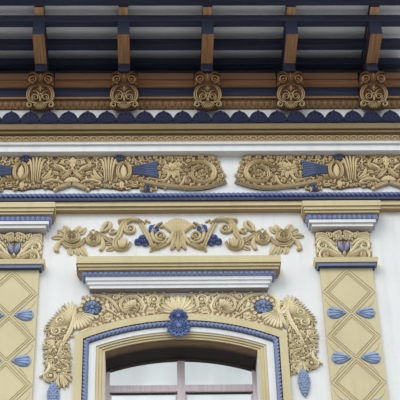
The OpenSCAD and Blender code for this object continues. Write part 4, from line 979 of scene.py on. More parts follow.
CORNER = [(662, -128), (656, -88), (636, -58), (610, -38), (580, -30)]
head_arc = [(x, head(x) + 1) for x in np.linspace(-652, 652, 40)]
crest_head_edge = head_arc + CORNER + [(-x, z) for x, z in CORNER[::-1]]
SIDE_EDGE = [(640, -110), (697, -127), (756, -100), (796, -162), (870, -260), (868, -349), (878, -406),
             (872, -484), (858, -567), (880, -640), (850, -690), (812, -696), (764, -724), (734, -724),
             (710, -690), (716, -652), (710, -576), (712, -492), (726, -424), (740, -386), (700, -330)]
RIGHT_JOIN = [(606, -66), (650, -84), (716, -190), (724, -420), (716, -640), (690, -650), (686, -300),
              (640, -262), (606, -240)]
crest_ground = Carving(plane(z=hood_low))
crest_ground.plate(crest_head_edge, -1, CREST_T)
crest_ground.on(plane(z=hood_low, flip=True), plane(**RIGHT_SIDE)).plate(SIDE_EDGE, -1, CREST_T - 0.5)
crest_ground.on(plane(z=hood_low)).plate(RIGHT_JOIN, -1, CREST_T - 1)
piece("crest_ground", crest_ground, "ochre_plaster", cast_ground, "window_crest")

# %% Crest over the window head
HEAD_PLANES = plane(z=hood_low, out=CREST_T, flip=True), plane(RIGHT_SHIFT, z=hood_low, out=CREST_T)
FLOWER = (578, -126)
MEDALLION = (330, -106)
crest_blue = Carving(*HEAD_PLANES)
for angle in range(0, 360, 45):
    crest_blue.leaf(polar(FLOWER, 6, angle), polar(FLOWER, 62, angle + 4), 40, 24, section="cupped")
crest_blue.bead(FLOWER, 16, height=28)
crest = Carving(*HEAD_PLANES, gain=0.72, marks=crest_blue.marks)
key_fan = crest.on(plane(KEY_X, z=hood_low, out=CREST_T))
KEY_HUB = (0, -170)
for angle in np.linspace(12, 168, 9):
    tip = polar(KEY_HUB, 154 - 0.2 * abs(angle - 90), angle)
    key_fan.leaf(polar(KEY_HUB, 30, angle), tip, 37, 24, section="cupped")
for angle in np.linspace(22, 158, 8):
    key_fan.leaf(polar(KEY_HUB, 96, angle), polar(KEY_HUB, 150, angle), 15, 18)
crest.stroke(spiral(MEDALLION, 80, 58, 205, -1.0), (16, 22, 20, 14), 23, "grooved")
crest.fan((296, -142), 86, -8, 86, 7, height=21, section="veined")
for angle in range(200, 361, 32):
    crest.leaf(polar(MEDALLION, 50, angle), polar(MEDALLION, 26, angle + 14), 18, 14)
crest.volute((176, -62), 49, 300, 1.5, 16, 22)
crest.leaf((206, -108), (238, -24), 27, 20, 0.15)
crest.flower((194, -148), 28, 6, 18)
crest.stroke(curve((110, -154), (150, -110), (128, -40), (80, -28)), (13, 23, 20, 12), 22, "grooved")
crest.stroke(curve((262, -168), (236, -120), (262, -60), (304, -18)), (12, 20, 18, 11), 20)
crest.stroke(curve((398, -154), (440, -80), (500, -35), (578, -24)), (14, 23, 22, 13), 22, "grooved")
crest.stroke(curve((416, -184), (464, -144), (515, -122)), (11, 18, 13), 19)
crest.flower((470, -194), 32, 6, 19, 20)
crest.volute((424, -42), 28, 200, -1.25, 12, 19)
crest.leaf((483, -78), (464, -134), 26, 19, 0.1)
crest.volute((372, -20), 17, 30, 1.1, 8, 16)
for x in (238, 272, 306, 340, 374, 408, 442, 520, 552):
    crest.leaf((x, head(x) + 14), (x + 20, head(x) + 42), 19, 17, 0.15)
crest.stroke([(x, head(x) + 9) for x in np.linspace(40, 646, 24)], 15, 16)
print("medallions drawn")

# %% Crest corner
SMALL_PETALS = 14
for k in range(SMALL_PETALS):
    angle = 11 + 360 * k / SMALL_PETALS
    tip = polar(FLOWER, 88 + 4 * (k % 2), angle + 7)
    crest.leaf(polar(FLOWER, 62, angle), tip, 29, 22, section="cupped")
crest.fan((690, -150), 144, 268, 198, 8, 0.2, 22)
crest.stroke(curve((566, head(566) + 14), (612, head(612) + 14), (658, head(645) + 6)), (14, 24, 18), 26)
head_ground = [*[(x, head(x) + 8) for x in (110, 330, 560)], (640, -250), (650, -30), (470, -8), (110, -8)]
crest.fill(head_ground, 3, smallest=5.5, largest=13, height=13)
SIDE_PLANES = plane(z=hood_low, out=CREST_T, flip=True), plane(out=CREST_T, **RIGHT_SIDE)
side = crest.on(*SIDE_PLANES)
side.stroke(curve((686, -92), (694, -200), (716, -300), (756, -390), (792, -500)),
            (14, 27, 29, 23, 14), 26, "veined")
for tip in ((712, -64), (738, -72), (762, -84), (782, -106), (800, -130), (816, -152), (828, -174),
            (842, -194), (854, -214), (868, -236), (880, -258), (884, -282), (888, -306)):
    side.leaf((712, -226 - 0.3 * (tip[0] - 762)), tip, 21, 21, 0.08)
side.volute((782, -222), 37, 240, 1.3, 15, 25)
side.volute((806, -304), 39, 60, -1.4, 15, 24)
side.leaf((756, -330), (718, -366), 25, 18)
for x, z, r in ((742, -176, 13), (748, -270, 14), (838, -344, 12)):
    side.bead((x, z), r)
print("corner drawn")

# %% Crest side clusters
CLUSTERS = {
    (816, -430): ((882, -366), (892, -402), (892, -440), (886, -478), (712, -400), (706, -438), (770, -362),
                  (736, -380), (842, -362)),
    (798, -510): ((884, -506), (884, -544), (704, -468), (694, -504), (698, -540), (734, -450), (866, -574)),
    (776, -606): ((702, -576), (696, -612), (694, -650), (696, -688), (712, -722), (740, -744), (770, -738),
                  (846, -556)),
}
for hub, tips in CLUSTERS.items():
    side.spray(hub, tips, 30, 23)
for hub in CLUSTERS:
    side.bead(hub, 14, height=25)
side.stroke(curve((850, -540), (838, -580), (860, -622), (900, -652)), (14, 26, 22, 9), 23)
side.volute((828, -644), 52, 20, -1.3, 22, 25, "grooved")
piece("crest_carving", crest, "ochre_plaster", cast)

# %% Small forms between the side leaves
side_infill = Carving(*SIDE_PLANES, gain=0.8, marks=crest.marks)
print(side_infill.fill(SIDE_EDGE, 5, smallest=5, largest=12, height=14), "small forms on each side")

# %% Leaves over the joint on the right
join = Carving(plane(z=hood_low, out=CREST_T - 1), gain=0.8, store=side_infill.store)
join.stroke(curve((628, -78), (640, -150), (662, -220), (690, -300)), (20, 30, 28, 12), 22, "grooved")
join.leaves(0.1, 20, ((640, -96), (690, -110), 26), ((652, -140), (706, -150), 26),
            ((664, -186), (716, -200), 26), ((676, -236), (722, -250), 24), ((620, -110), (612, -200), 26))
JOIN_CLUSTERS = {
    (700, -330): ((716, -270), (724, -350), (700, -400), (692, -290)),
    (704, -450): ((722, -410), (722, -490), (694, -500), (694, -420)),
    (704, -570): ((722, -530), (720, -610), (692, -620), (692, -540)),
}
for hub, tips in JOIN_CLUSTERS.items():
    join.spray(hub, tips, 24, 18)
join.stroke(curve((596, -30), (622, -48), (642, -84), (648, -130)), (18, 30, 30, 16), 20)
join.leaf((650, -186), (706, -80), 46, 20, -0.1, section="cupped")
join.fill(RIGHT_JOIN, 9, smallest=5, largest=11, height=14)
piece("crest_infill", side_infill, "ochre_plaster", cast)

# %% [markdown]
# The flowers and cones of the crest are blue. A cone is a tapering boss covered in overlapping
# scales, set in rows that turn half a step each time. It hangs at the lower end of each side.

# %% Crest flowers and cones in blue
piece("crest_flowers_blue", crest_blue, "blue_plaster", drop_blue, "crest_flowers")
CONE_SPOTS = ((-806, 692), (770, 611))
CONE_H, CONE_R, CONE_ROWS = 198, 38, 11
cones = Carving(*[plane(x, z=hood_low - drop) for x, drop in CONE_SPOTS])
cones.bead((0, -CONE_H / 2), CONE_R - 3, CONE_H / 2, 30, sides=20)
for row in range(CONE_ROWS):
    t = (row + 0.5) / CONE_ROWS
    wide = CONE_R * math.sin(math.pi * min(t * 1.04, 1) ** 0.85)
    scales = 4 + row % 2
    for k in range(scales):
        s = 2 * k / scales - (scales - 1) / scales
        u = wide * math.sin(s * 1.35)
        rise = 26 * math.sqrt(max(0.05, 1 - (u / CONE_R) ** 2 - (2 * t - 1) ** 2 * 0.9))
        cones.leaf((u * 0.9, 10 - CONE_H * t), (u, -15 - CONE_H * t), 19, 9, section="round", lift=rise)
piece("crest_cones", cones, "blue_plaster", cone_blue)

# %% [markdown]
# ## Keystone rosettes
# Two many-petalled flowers sit on the keystone, one over the other. Each has an outer and an inner
# ring of petals at different heights and a beaded eye.

# %% Keystone rosettes
KEY_DROP = 108
PETAL_RINGS = ((0, 0.4, 1.0, 0.46, 17, 0), (0.5, 0.15, 0.66, 0.34, 16, 7))
keystone = Carving(plane(KEY_X, z=surround_top - KEY_DROP, out=proud("surround_band")))
for centre, r, petals in (((0, 0), 82, 14), ((0, 77), 64, 12)):
    for k in range(petals):
        for turned, foot, tip, wide, height, lift in PETAL_RINGS:
            angle = 360 * (k + turned) / petals
            keystone.leaf(polar(centre, foot * r, angle), polar(centre, tip * r, angle), wide * r, height,
                          section="cupped", lift=lift)
    keystone.bead(centre, 0.3 * r, height=30)
    for k in range(7):
        keystone.bead(polar(centre, 0.2 * r, 51.4 * k), 0.09 * r, height=8, lift=20, sides=8)
piece("keystone_flowers", keystone, "blue_plaster", rose_blue, "keystone_rosettes")

# %% [markdown]
# ## Ropes
# Two blue ropes are run in plaster: a thick one along the string band and a thin one round the
# window. A rope is three strands twisted together, so the section is a three-lobed circle that
# turns as it goes along. The two halves of the window's rope twist against each other and meet
# under the keystone's flowers. A helix per strand would also do, but would leave buried faces.


# %% Twisted rope
def rope(carving, path, d, pitch, strands=3, sides=15):
    """A rope of diameter d whose strands make a full turn each pitch."""
    path = np.asarray(path, float)
    run = distances(path)
    s = np.linspace(0, run[-1], int(run[-1] / pitch * strands * 6))
    at, side = walk(path, run, s)
    phi = np.linspace(0, 2 * math.pi, sides, endpoint=False)
    lobe = np.abs(np.cos(strands / 2 * (phi[None, :] - 2 * math.pi * s[:, None] / pitch)))
    r = d / 2 * (0.5 + 0.5 * lobe**0.6)
    points = at[:, None, :] + side[:, None, :] * (r * np.cos(phi))[:, :, None]
    carving.rings(np.dstack([points, (r * np.sin(phi))[:, :, None]]))


trial = Carving(plane())
rope(trial, [(0, 0), (100, 0)], 40, 100)
print("one turn of a rope has", len(trial.store[0][0]), "points")

# %% String rope
THICK_PITCH, THIN_PITCH = 100, 82
low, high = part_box("string_rope")
string = Carving(plane(0, -(low.y + high.y) / 2 / MM, (low.z + high.z) / 2 / MM))
rope(string, [(x, 0) for x in party_ends], (high.z - low.z) / MM, THICK_PITCH)
piece("string_rope_twist", string, "blue_plaster", blue, "string_rope")

# %% Rope round the window
low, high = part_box("surround_rope")
thin_d = (high.y - low.y) / MM
rope_x = high.x / MM - thin_d / 2
rope_r = ARCH_R + rope_x - opening_half - HEAD_SQUEEZE
spring = math.degrees(math.acos(rope_x / rope_r))
window_rope = Carving(*mirrored(0, out=-(low.y + high.y) / 2 / MM))
arch = [polar((0, arch_centre), rope_r, g) for g in np.linspace(spring, 90, 40)]
rope(window_rope, [(rope_x, topside("window_sill")), *arch], thin_d, THIN_PITCH)
piece("window_rope", window_rope, "blue_plaster", rope_blue, "surround_rope")

# %% [markdown]
# ## Pilasters
# The shafts carry a chain of lozenges with doubled raised lines, which the measured pieces have. At
# each crossing lies a pair of pale blue drops, between thin ochre thorns that curl off the lines.

# %% Blue drops
LOZENGE_STEP, CROSSINGS = 350, 7
SHAFT_OUT, CHAIN_DROP = 30, 14
chain_top = underside("neck_fillets") - CHAIN_DROP
crossing_zs = [-k * LOZENGE_STEP for k in range(1, CROSSINGS + 1)]
drops = Carving(*hands_at(shafts, z=chain_top, out=SHAFT_OUT))
for z in crossing_zs:
    drops.stroke([(28, z), (70, z), (115, z), (160, z)], (8, 52, 92, 98, 88), (10, 15, 17, 14))
    for slant in (-1, 0, 1):
        ridge = [(52, z + 5 * slant), (96, z + 17 * slant), (146, z + 27 * slant)]
        drops.stroke(ridge, (5, 15, 13), 6, lift=12.5)
piece("pilaster_drops", drops, "blue_plaster", drop_blue, "pilaster_teardrops")

# %% Thorns beside the drops
thorns = Carving(*drops.planes)
for z in crossing_zs:
    thorns.stroke(curve((100, z + 42), (126, z + 58), (148, z + 84), (163, z + 122)), (12, 9, 5), 6)
    thorns.stroke(curve((84, z - 50), (112, z - 80), (140, z - 128)), (10, 8, 4), 6)
piece("pilaster_thorns", thorns, "ochre_plaster", shaft_paint)

# %% [markdown]
# ## Capitals
# A blue tulip stands over a bead in the middle of each capital. On both sides a stem rises from the
# foot into a large volute, with slimmer strokes along its back and a small scroll under it. A crown
# of bean-shaped loops and beads closes the top, further out than the rest.

# %% Capital ground and tulip
CAPITAL_T, CROWN_T, BELL_HALF = 10, 14, 188
bell_h = underside("abacus_beds") - neck_top
bells = Carving(*planes_at(shafts, z=neck_top))
bells.plate([(-BELL_HALF, 0), (BELL_HALF, 0), (BELL_HALF, bell_h), (-BELL_HALF, bell_h)], -1, CAPITAL_T)
piece("capital_bells", bells, "ochre_plaster", cast_ground, "capital_left", "capital_right")
tulip = Carving(*hands_at(shafts, z=neck_top, out=CAPITAL_T))
tulip.stroke(curve((6, 90), (22, 130), (34, 180)), (20, 42, 10), (28, 36, 24))
middle = tulip.on(*planes_at(shafts, z=neck_top, out=CAPITAL_T))
middle.leaf((0, 92), (0, 154), 30, 34)
piece("capital_tulips_blue", tulip, "blue_plaster", tulip_blue, "capital_tulips")

# %% Capital volutes and crown
capital = Carving(*tulip.planes, gain=0.95, marks=tulip.marks)
capital.on(*middle.planes).bead((0, 80), 10, height=34)
large_volute = curve((22, 58), (50, 94), (74, 127), (97, 158), (126, 177), (157, 172), (173, 145),
                     (161, 117), (136, 110), (119, 130), (128, 150), (143, 142))
capital.stroke(large_volute, (11, 19, 22, 21, 20, 18, 15, 11), 34)
capital.stroke(curve((58, 144), (83, 174), (111, 193), (145, 201), (170, 193), (183, 170)),
               (9, 16, 19, 13), 31)
capital.stroke(curve((92, 196), (116, 216), (150, 222), (183, 206)), (8, 14, 15, 10), 29)
capital.stroke(curve((100, 222), (126, 240), (158, 244), (184, 232)), (8, 13, 14, 10), 29)
capital.stroke(curve((8, 36), (50, 68), (88, 94), (125, 106), (157, 92), (168, 60), (160, 34)),
               (10, 16, 19, 17, 11), 32)
capital.volute((128, 66), 23, 120, 1.2, 11, 30)
capital.stroke(curve((36, 46), (70, 62), (100, 72)), (8, 12, 8), 27)
capital.stroke(curve((34, 74), (47, 112), (45, 138)), (7, 11, 8), 27)
capital.volute((55, 152), 13, 250, -1.1, 8, 29)
capital.leaf((176, 84), (182, 122), 16, 24)
capital.leaf((136, 28), (180, 30), 16, 22)
crown = capital.on(*hands_at(shafts, z=neck_top, out=CAPITAL_T + CROWN_T))
crown.stroke(curve((7, 238), (16, 252), (42, 247), (66, 230), (64, 215), (46, 219), (16, 229), (7, 238)),
             10, 27)
for spot, rx, rz in ((12, 206), 9, 10), ((38, 202), 10, 10), ((84, 222), 8, 15), ((104, 232), 7, 13):
    crown.stroke(ring(spot, rx, rz), 9, 25)
for x in (22, 62):
    crown.bead((x, 190), 6, height=20)
bell_ground = [(60, 100), (184, 100), (184, 256), (0, 256), (0, 190)]
capital.fill(bell_ground, 11, smallest=4.5, largest=8, height=14)
piece("capital_carving", capital, "ochre_plaster", capital_lit_paint)

# %% [markdown]
# ## Leaf bands
# Under hood and abacus runs a blue band of upright leaves on a leaning face, and it turns the two
# corners. Under the eaves a broader leaf band in ochre runs between the consoles.


# %% A row of upright leaves
def leaf_row(carving, length, height, step, tall):
    """Leaves side by side along u, each as high as the band, with a small one between."""
    count = max(1, round(length / step))
    pitch = length / count
    for k in range(count):
        u = (k + 0.5 - count / 2) * pitch
        carving.leaf((u, 1), (u, height), 0.95 * pitch, tall)
        if k:
            carving.leaf((u - pitch / 2, height * 0.3), (u - pitch / 2, height), 0.34 * pitch, 0.8 * tall)


print("leaf rows ready")

# %% Leaf bands under hood and abacus
LEAF_STEP, LEAF_ROOM, END_ROOM = 34, 9, 8
RETURN_FOOT, RETURN_HEAD = 12, 3
BAND_SLOPE = 0.72


def returned_band(name, node, centres):
    """Leaves on the front and both returns of a leaning band, in place of a plain node."""
    low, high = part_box(node)
    z0, z1 = low.z / MM, high.z / MM
    out_top = -low.y / MM
    half = high.x / MM - max(centres)
    back, front = out_top - (z1 - z0) * BAND_SLOPE, out_top - LEAF_ROOM
    body = Carving(*planes_at(centres))
    levels = []
    for z, u, out in ((z0, half - RETURN_FOOT, back), (z1, half - RETURN_HEAD, front)):
        levels.append([(-u, z, 0), (-u, z, out), (u, z, out), (u, z, 0)])
    body.rings(np.array(levels))
    lean = math.degrees(math.atan2(front - back, z1 - z0))
    tall = math.hypot(front - back, z1 - z0)
    for x in centres:
        leaf_row(body.on(plane(x, back, z0, lean=lean)), 2 * (half - END_ROOM), tall, LEAF_STEP, 12)
        for hand in (-1, 1):
            side = plane(x + hand * (half - RETURN_FOOT), out_top / 2, z0, lean=lean * 0.5, turn=90 * hand)
            leaf_row(body.on(side), back, tall, LEAF_STEP, 9)
    piece(name, body, "blue_plaster", band_blue, node)


returned_band("hood_leaves", "hood_leaf_band", (sum(span("hood_leaf_band", "x")) / 2,))
returned_band("abacus_leaves", "abacus_leaf_bands", shafts)

# %% [markdown]
# ## Egg and dart, scallops
# The cornice has a classical egg-and-dart on a leaning face: a low egg under a broad arch, then a
# narrow dart. Above it stands a crest of pointed blue scallops with a raised rim, each with a small
# fan.

# %% Egg and dart
egg_low, egg_high = underside("egg_and_dart"), topside("egg_and_dart")
egg_out = proud("egg_and_dart")
EGG_STEP, EGG_SLOPE, EGG_SINK, HEAD_SINK = 60, 24, 6, 8
egg_foot = egg_out - EGG_SLOPE - EGG_SINK
egg_lean = math.degrees(math.atan2(EGG_SLOPE, egg_high - egg_low))
egg_face = math.hypot(EGG_SLOPE, egg_high - egg_low)
eggs = Carving(plane())
section = [(egg_low, 0), (egg_low, egg_foot), (egg_high, egg_out - HEAD_SINK), (egg_high, 0)]
eggs.moulding(section, *party_ends)
row = round(2 * half_length / EGG_STEP)
for k in range(row):
    x = (k + 0.5 - row / 2) * 2 * half_length / row
    at = eggs.on(plane(x, egg_foot, egg_low, lean=egg_lean))
    at.bead((0, egg_face * 0.34), 13, egg_face * 0.3, 9)
    at.stroke(ring((0, egg_face * 0.34), 24, egg_face * 0.5, -12, 204), 11, 17)
    if k:
        between = eggs.on(plane(x - half_length / row, egg_foot, egg_low, lean=egg_lean))
        between.leaf((0, egg_face * 0.55), (0, egg_face * 0.02), 9, 9)
piece("egg_and_dart_row", eggs, "ochre_plaster", egg_paint, "egg_and_dart")

# %% Scallop crest
crest_low, crest_high = underside("scallop_crest"), topside("scallop_crest")
BAND_H, BAND_BACK = 54, 12
SCALLOP_STEP, SCALLOP_SHIFT, SCALLOP_GAP = 136, 38, 3
SCALLOP_T, RELIEF_H = 24, 8
band_out = proud("scallop_crest")
band_face = band_out - BAND_BACK
scallops = Carving(plane(z=crest_low))
scallops.moulding([(0, 0), (0, band_face), (BAND_H, band_face), (BAND_H, 0)], *party_ends)
tall = crest_high - crest_low
half = SCALLOP_STEP / 2 - SCALLOP_GAP / 2
FLANK = ((0.78, 0), (1, 0.32), (0.9, 0.58), (0.56, 0.81), (0.15, 0.92), (0, 1))
RIM = ((0.86, 0.32), (0.76, 0.56), (0.36, 0.8))
flank = curve(*[(u * half, v * tall) for u, v in FLANK]).tolist()
outline = [*flank, *[(-u, v) for u, v in flank[-2::-1]]]
row = int(2 * half_length / SCALLOP_STEP) + 1
for k in range(row):
    x = (k + 0.5 - row / 2) * SCALLOP_STEP + SCALLOP_SHIFT - SCALLOP_STEP / 2
    at = scallops.on(plane(x, band_out - SCALLOP_T - RELIEF_H, crest_low))
    at.plate(outline, 0, SCALLOP_T)
    for side in (-half, half):
        rim = curve((side * 0.66, 6), *[(side * u, v * tall) for u, v in RIM])
        at.stroke(rim, 11, RELIEF_H, lift=SCALLOP_T)
    at.fan((0, 4), 0.66 * tall, 42, 138, 6, height=RELIEF_H, lift=SCALLOP_T)
    at.leaf((0, 0.7 * tall), (0, 0.985 * tall), 18, RELIEF_H, lift=SCALLOP_T)
piece("scallops", scallops, "blue_plaster", scallop_shaded_blue, "scallop_crest", ends=party_ends)
print(row, "scallops")

# %% [markdown]
# ## Eaves carving and boards
# A carved console stands under each rafter: a bracket whose face leans out and whose outline narrows
# at neck and waist. On it are a leaf foot, a ring round two small scrolls, and two horns over a leaf.
# It was carved once and repeated, so it is drawn on a leaning plane for all rafters at once.

# %% Consoles
con_low, con_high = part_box("consoles")
con_z = con_low.z / MM
CONSOLE_W, RAFTER_STEP = 196, 606
FOOT_OUT, HEAD_OUT, FACE_Z = 76, 198, 221
CHAMFER = 14
BACK_CUT, CUT_LOW, CUT_HIGH = 62, 18, 88
first_x = con_low.x / MM + CONSOLE_W / 2
rafter_xs = np.arange(first_x, con_high.x / MM, RAFTER_STEP)
OUTLINE = [(2, 34), (8, 70), (18, 92), (34, 95), (46, 84), (55, 76), (68, 86), (86, 93), (112, 95),
           (136, 86), (152, 66), (164, 58), (180, 72), (200, 92), (226, 96), (253, 84)]
consoles = Carving(*planes_at(rafter_xs, z=con_z))
body = []
for z, w in OUTLINE:
    out = FOOT_OUT + (HEAD_OUT - FOOT_OUT) * min(z / FACE_Z, 1)
    back = min(BACK_CUT, max(0, BACK_CUT * (CUT_HIGH - z) / (CUT_HIGH - CUT_LOW)))
    edge, flat = out - CHAMFER, w - CHAMFER
    body.append([(-w, z, back), (-w, z, edge), (-flat, z, out), (flat, z, out), (w, z, edge), (w, z, back)])
consoles.rings(np.array(body))
piece("console_bodies", consoles, "ochre_timber", console_ground, "consoles")

# %% Carving on the consoles
con_face = {"out": FOOT_OUT, "z": con_z, "lean": math.degrees(math.atan2(HEAD_OUT - FOOT_OUT, FACE_Z))}
face = Carving(*hands_at(rafter_xs, **con_face), swell=1.1)
single = face.on(*planes_at(rafter_xs, **con_face))
face.stroke(curve((6, 54), (52, 56), (84, 88), (88, 132), (62, 172), (22, 188)),
            (14, 22, 22, 12), 22, "grooved")
face.stroke(spiral((35, 94), 27, 7, 285, 1.6), (11, 11, 8), 20)
face.stroke(curve((3, 62), (7, 98), (24, 136), (54, 142)), (8, 12, 7), 18)
single.bead((0, 120), 9, height=18)
face.leaves(0.1, 18, ((4, 146), (34, 166), 14), ((22, 128), (48, 122), 12))
single.leaf((0, 134), (0, 184), 20, 20)
face.stroke(spiral((76, 38), 21, 7, 95, -1.3), (16, 15, 10), 24)
face.stroke(curve((4, 60), (30, 50), (60, 56), (78, 60)), (12, 16, 15), 22)
single.fan((0, 66), 62, 214, 326, 9, 0.1, 24)
face.volute((52, 228), 37, 250, 1.35, 13, 24)
face.stroke(curve((6, 206), (18, 246), (50, 278), (94, 262)), (10, 16, 14, 8), 22, "grooved")
face.leaf((78, 206), (92, 186), 14, 16)
single.leaf((0, 200), (0, 276), 24, 26)
piece("console_carving", face, "ochre_timber", console_paint, ends=party_ends)

# %% Carved leaf band between the consoles
leaf_low, leaf_high = underside("carved_leaf_band"), topside("carved_leaf_band")
SQUARE_H = 16
BODY_FOOT, BODY_HEAD, LEAF_BACK, LEAF_SLOPE = 16, 44, 15, 30
leaf_out = proud("carved_leaf_band")
square_low = leaf_high - leaf_low - SQUARE_H
square_top = square_low + SQUARE_H
section = [(0, 0), (0, BODY_FOOT), (square_low, BODY_HEAD), (square_low, leaf_out), (square_top, leaf_out),
           (square_top, 0)]
lean = math.degrees(math.atan2(LEAF_SLOPE, square_low))
runs = [(a + CONSOLE_W / 2, b - CONSOLE_W / 2) for a, b in zip(rafter_xs, rafter_xs[1:])]
runs.append((rafter_xs[-1] + CONSOLE_W / 2, half_length))
bands = Carving()
for x0, x1 in runs:
    centre, length = (x0 + x1) / 2, x1 - x0
    bands.on(plane(centre, 0, leaf_low)).moulding(section, -length / 2, length / 2)
    leaf_row(bands.on(plane(centre, LEAF_BACK, leaf_low, lean=lean)), length, square_low * 1.1, 44, 13)
piece("leaf_band_carving", bands, "ochre_timber", band_paint, "carved_leaf_band")

# %% Soffit boards
boards_low, boards_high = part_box("soffit_boards")
BOARD_W, BOARD_GAP, ARRIS = 118, 5, (2, 3)
boards = Carving(plane(z=boards_low.z / MM))
out, edge = 0.0, -boards_low.y / MM
thick = (boards_high.z - boards_low.z) / MM
while out < edge - 1:
    stop = min(out + BOARD_W, edge)
    section = [(0, out + ARRIS[0]), (0, stop - ARRIS[0]), (ARRIS[1], stop), (thick, stop), (thick, out),
               (ARRIS[1], out)]
    boards.moulding(section, *party_ends)
    out = stop + BOARD_GAP
piece("soffit_planks", boards, "soffit_timber", board_paint, "soffit_boards")

# %% [markdown]
# ## Roof tiles
# The roof is out of sight from the street, but the part is seen from all sides. It has barrel tiles:
# rows of hollow-side-up pans and hollow-side-down covers, each overlapping the one below it.

# %% One tile's section
TILE_R, CLAY_T, PAN_H = 62, 13, 54
half_turn = np.radians(np.linspace(0, 180, 9))
barrel = np.c_[np.cos(half_turn), np.sin(half_turn)]


def tile_section(wide, cover):
    """Half a barrel, narrowed to a share of its width; a pan is a flatter one turned over."""
    shape = np.vstack([barrel * TILE_R * wide, (barrel * (TILE_R * wide - CLAY_T))[::-1]])
    if not cover:
        shape[:, 1] = PAN_H - shape[:, 1] * 0.8
    return shape


print("section of", len(tile_section(1.0, True)), "points")

# %% Roof tiles
LAYER_T, PAN_STEP, TILE_ROWS = 90, 200, 5
OVERLAP, NARROW_END = 34, 0.86
COVER_FOOT, COVER_HEAD, PAN_BELOW = 26, 8, 16
tiles_low, tiles_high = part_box("roof_tiles")
run_y = (tiles_high.y - tiles_low.y) / MM
rise_z = (tiles_high.z - tiles_low.z) / MM - LAYER_T
slope = math.atan2(rise_z, run_y)
roof_len = math.hypot(run_y, rise_z)
reach = roof_len / TILE_ROWS
columns = int(2 * half_length / PAN_STEP)
tiles = Carving(plane())
for row in range(TILE_ROWS):
    top_end = min((row + 1) * reach + OVERLAP, roof_len)
    for col in range(2 * columns - 1):
        x = (col / 2 + 0.5 - columns / 2) * PAN_STEP
        cover = col % 2 == 1
        ends = []
        for s, wide, lift in ((row * reach, 1.0, COVER_FOOT), (top_end, NARROW_END, COVER_HEAD)):
            shape = tile_section(wide, cover)
            seat = lift if cover else max(lift - PAN_BELOW, 0)
            y = tiles_low.y / MM + s * math.cos(slope)
            z = tiles_low.z / MM + s * math.sin(slope)
            height = z + np.maximum(shape[:, 1] * 0.72, 0) + seat * 0.6
            ends.append(np.c_[x + shape[:, 0], height, np.full(len(shape), -y)])
        tiles.rings(np.array(ends))
piece("barrel_tiles", tiles, "clay_tile", tile, "roof_tiles")

# %% [markdown]
# ## Window head lining
# The soffit of the window's reveal is lined with brown boards that follow the arch, near black further
# in as painted shade. It is a thin piece under the masonry, so it is added here as a bent strip.

# %% Reveal lining
REVEAL_FRONT, REVEAL_BACK = 22, 234
LINING_T, LINING_GAP = 8.5, 0.5
lining = Carving(plane(out=-REVEAL_FRONT))
half_angle = math.degrees(math.asin((opening_half - 1) / ARCH_R))
angles = np.linspace(90 + half_angle, 90 - half_angle, 24)
outer = [polar((0, arch_centre), ARCH_R - LINING_GAP, g) for g in angles]
inner = [polar((0, arch_centre), ARCH_R - LINING_GAP - LINING_T, g) for g in angles]
lining.plate(outer + inner[::-1], REVEAL_FRONT - REVEAL_BACK, 0)
piece("reveal_lining", lining, "brown_timber", lining_paint)

# %% [markdown]
# ## Stage, light and camera
# The floor is a plain pale sheet that ends two metres in front of the wall, because the photograph
# is taken from below its level. The sky is overcast: brightest overhead, a little less bright at
# the horizon, and dim below it. One large lamp, high in front, is the bright part of the clouds; the
# eaves keep it off the cornice, as they do in the street. The camera is the street view.

# %% Floor
FLOOR_W, FLOOR_D = 6.4, 4.2
bpy.ops.mesh.primitive_plane_add(size=1, location=(0, -0.1, -0.001))
floor = bpy.context.object
floor.name = "studio_floor"
floor.scale = (FLOOR_W, FLOOR_D, 1.0)
floor_finish = Finish("studio_floor")
speckle = floor_finish.noise(floor_finish.place(), 3.0)
grey = floor_finish.mix(speckle, (0.60, 0.60, 0.60), (0.63, 0.63, 0.63))
floor.data.materials.append(floor_finish.surface(Roughness=0.9, Base_Color=grey))
print("floor", tuple(floor.scale))


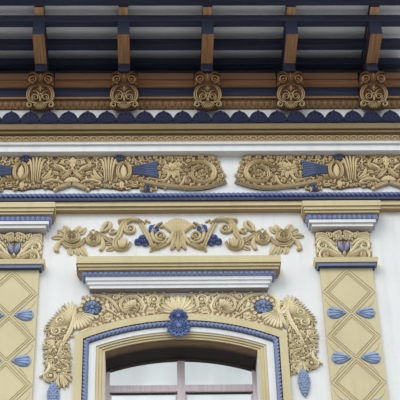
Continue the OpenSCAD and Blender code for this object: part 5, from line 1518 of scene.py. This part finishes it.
# %% Sky and lamp
def sky(zenith, horizon, street):
    """World light: brightest overhead, dim below, and plain white wherever it is seen directly."""
    world = bpy.data.worlds.new("overcast")
    world.use_nodes = True
    bpy.context.scene.world = world
    tree = world.node_tree
    tree.nodes.clear()
    add, link = tree.nodes.new, tree.links.new
    split, total = add("ShaderNodeSeparateXYZ"), add("ShaderNodeMath")
    link(add("ShaderNodeTexCoord").outputs["Generated"], split.inputs[0])
    ramps = (-0.08, 0.08, street, horizon), (0.0, 1.0, 0.0, zenith - horizon)
    for socket, ramp in enumerate(ramps):
        steps = add("ShaderNodeMapRange")
        for index, value in enumerate(ramp, 1):
            steps.inputs[index].default_value = value
        link(split.outputs["Z"], steps.inputs[0])
        link(steps.outputs[0], total.inputs[socket])
    glow, plain, rays = add("ShaderNodeBackground"), add("ShaderNodeBackground"), add("ShaderNodeLightPath")
    either, any_ray = add("ShaderNodeMath"), add("ShaderNodeMath")
    either.operation = any_ray.operation = "MAXIMUM"
    join, out = add("ShaderNodeMixShader"), add("ShaderNodeOutputWorld")
    glow.inputs["Color"].default_value = (0.95, 0.98, 1.0, 1.0)
    link(total.outputs[0], glow.inputs["Strength"])
    link(rays.outputs["Is Camera Ray"], either.inputs[0])
    link(rays.outputs["Is Glossy Ray"], either.inputs[1])
    link(either.outputs[0], any_ray.inputs[0])
    link(rays.outputs["Is Transmission Ray"], any_ray.inputs[1])
    link(any_ray.outputs[0], join.inputs[0])
    link(glow.outputs[0], join.inputs[1])
    link(plain.outputs[0], join.inputs[2])
    plain.inputs["Color"].default_value = (1.0, 1.0, 1.0, 1.0)
    link(join.outputs[0], out.inputs[0])


def soft_lamp(name, spot, aim, size, watts):
    """A square lamp at spot that shines towards aim."""
    lamp = bpy.data.lights.new(name, "AREA")
    lamp.size, lamp.energy = size, watts
    obj = bpy.data.objects.new(name, lamp)
    bpy.context.scene.collection.objects.link(obj)
    vector = type(cad_box[0])
    obj.location = spot
    obj.rotation_euler = (vector(aim) - vector(spot)).to_track_quat("-Z", "Y").to_euler()


sky(zenith=1.25, horizon=1.10, street=0.42)
soft_lamp("bright_cloud", (-3.0, -8.5, 10.5), (0, 0, 3.4), 6.0, 460)
print("sky and lamp set")

# %% Camera
FOCAL_PX, FRAME_PX = 1467.3, 400
PITCH, YAW, ROLL = 39.34, 2.343, -1.774
DISTANCE = 10.2
AIM = np.array([0.149, 0.0, 4.10])
pitch, yaw, roll = map(math.radians, (PITCH, YAW, ROLL))
look = np.array([math.sin(yaw) * math.cos(pitch), math.cos(yaw) * math.cos(pitch), math.sin(pitch)])
level = np.array([math.cos(yaw), -math.sin(yaw), 0.0])
rise = np.cross(level, look)
right = math.cos(roll) * level + math.sin(roll) * rise
above = -math.sin(roll) * level + math.cos(roll) * rise
lens = bpy.data.cameras.new("street_view")
lens.sensor_width = 36.0
lens.lens = FOCAL_PX / FRAME_PX * lens.sensor_width
camera = bpy.data.objects.new("street_view", lens)
bpy.context.scene.collection.objects.link(camera)
turned = np.column_stack([right, above, -look, AIM - DISTANCE * look])
camera.matrix_world = type(camera.matrix_world)([*turned.tolist(), [0, 0, 0, 1]])
bpy.context.scene.camera = camera
bpy.context.scene.view_settings.view_transform = "Standard"
print("camera at", [round(v, 2) for v in camera.location])
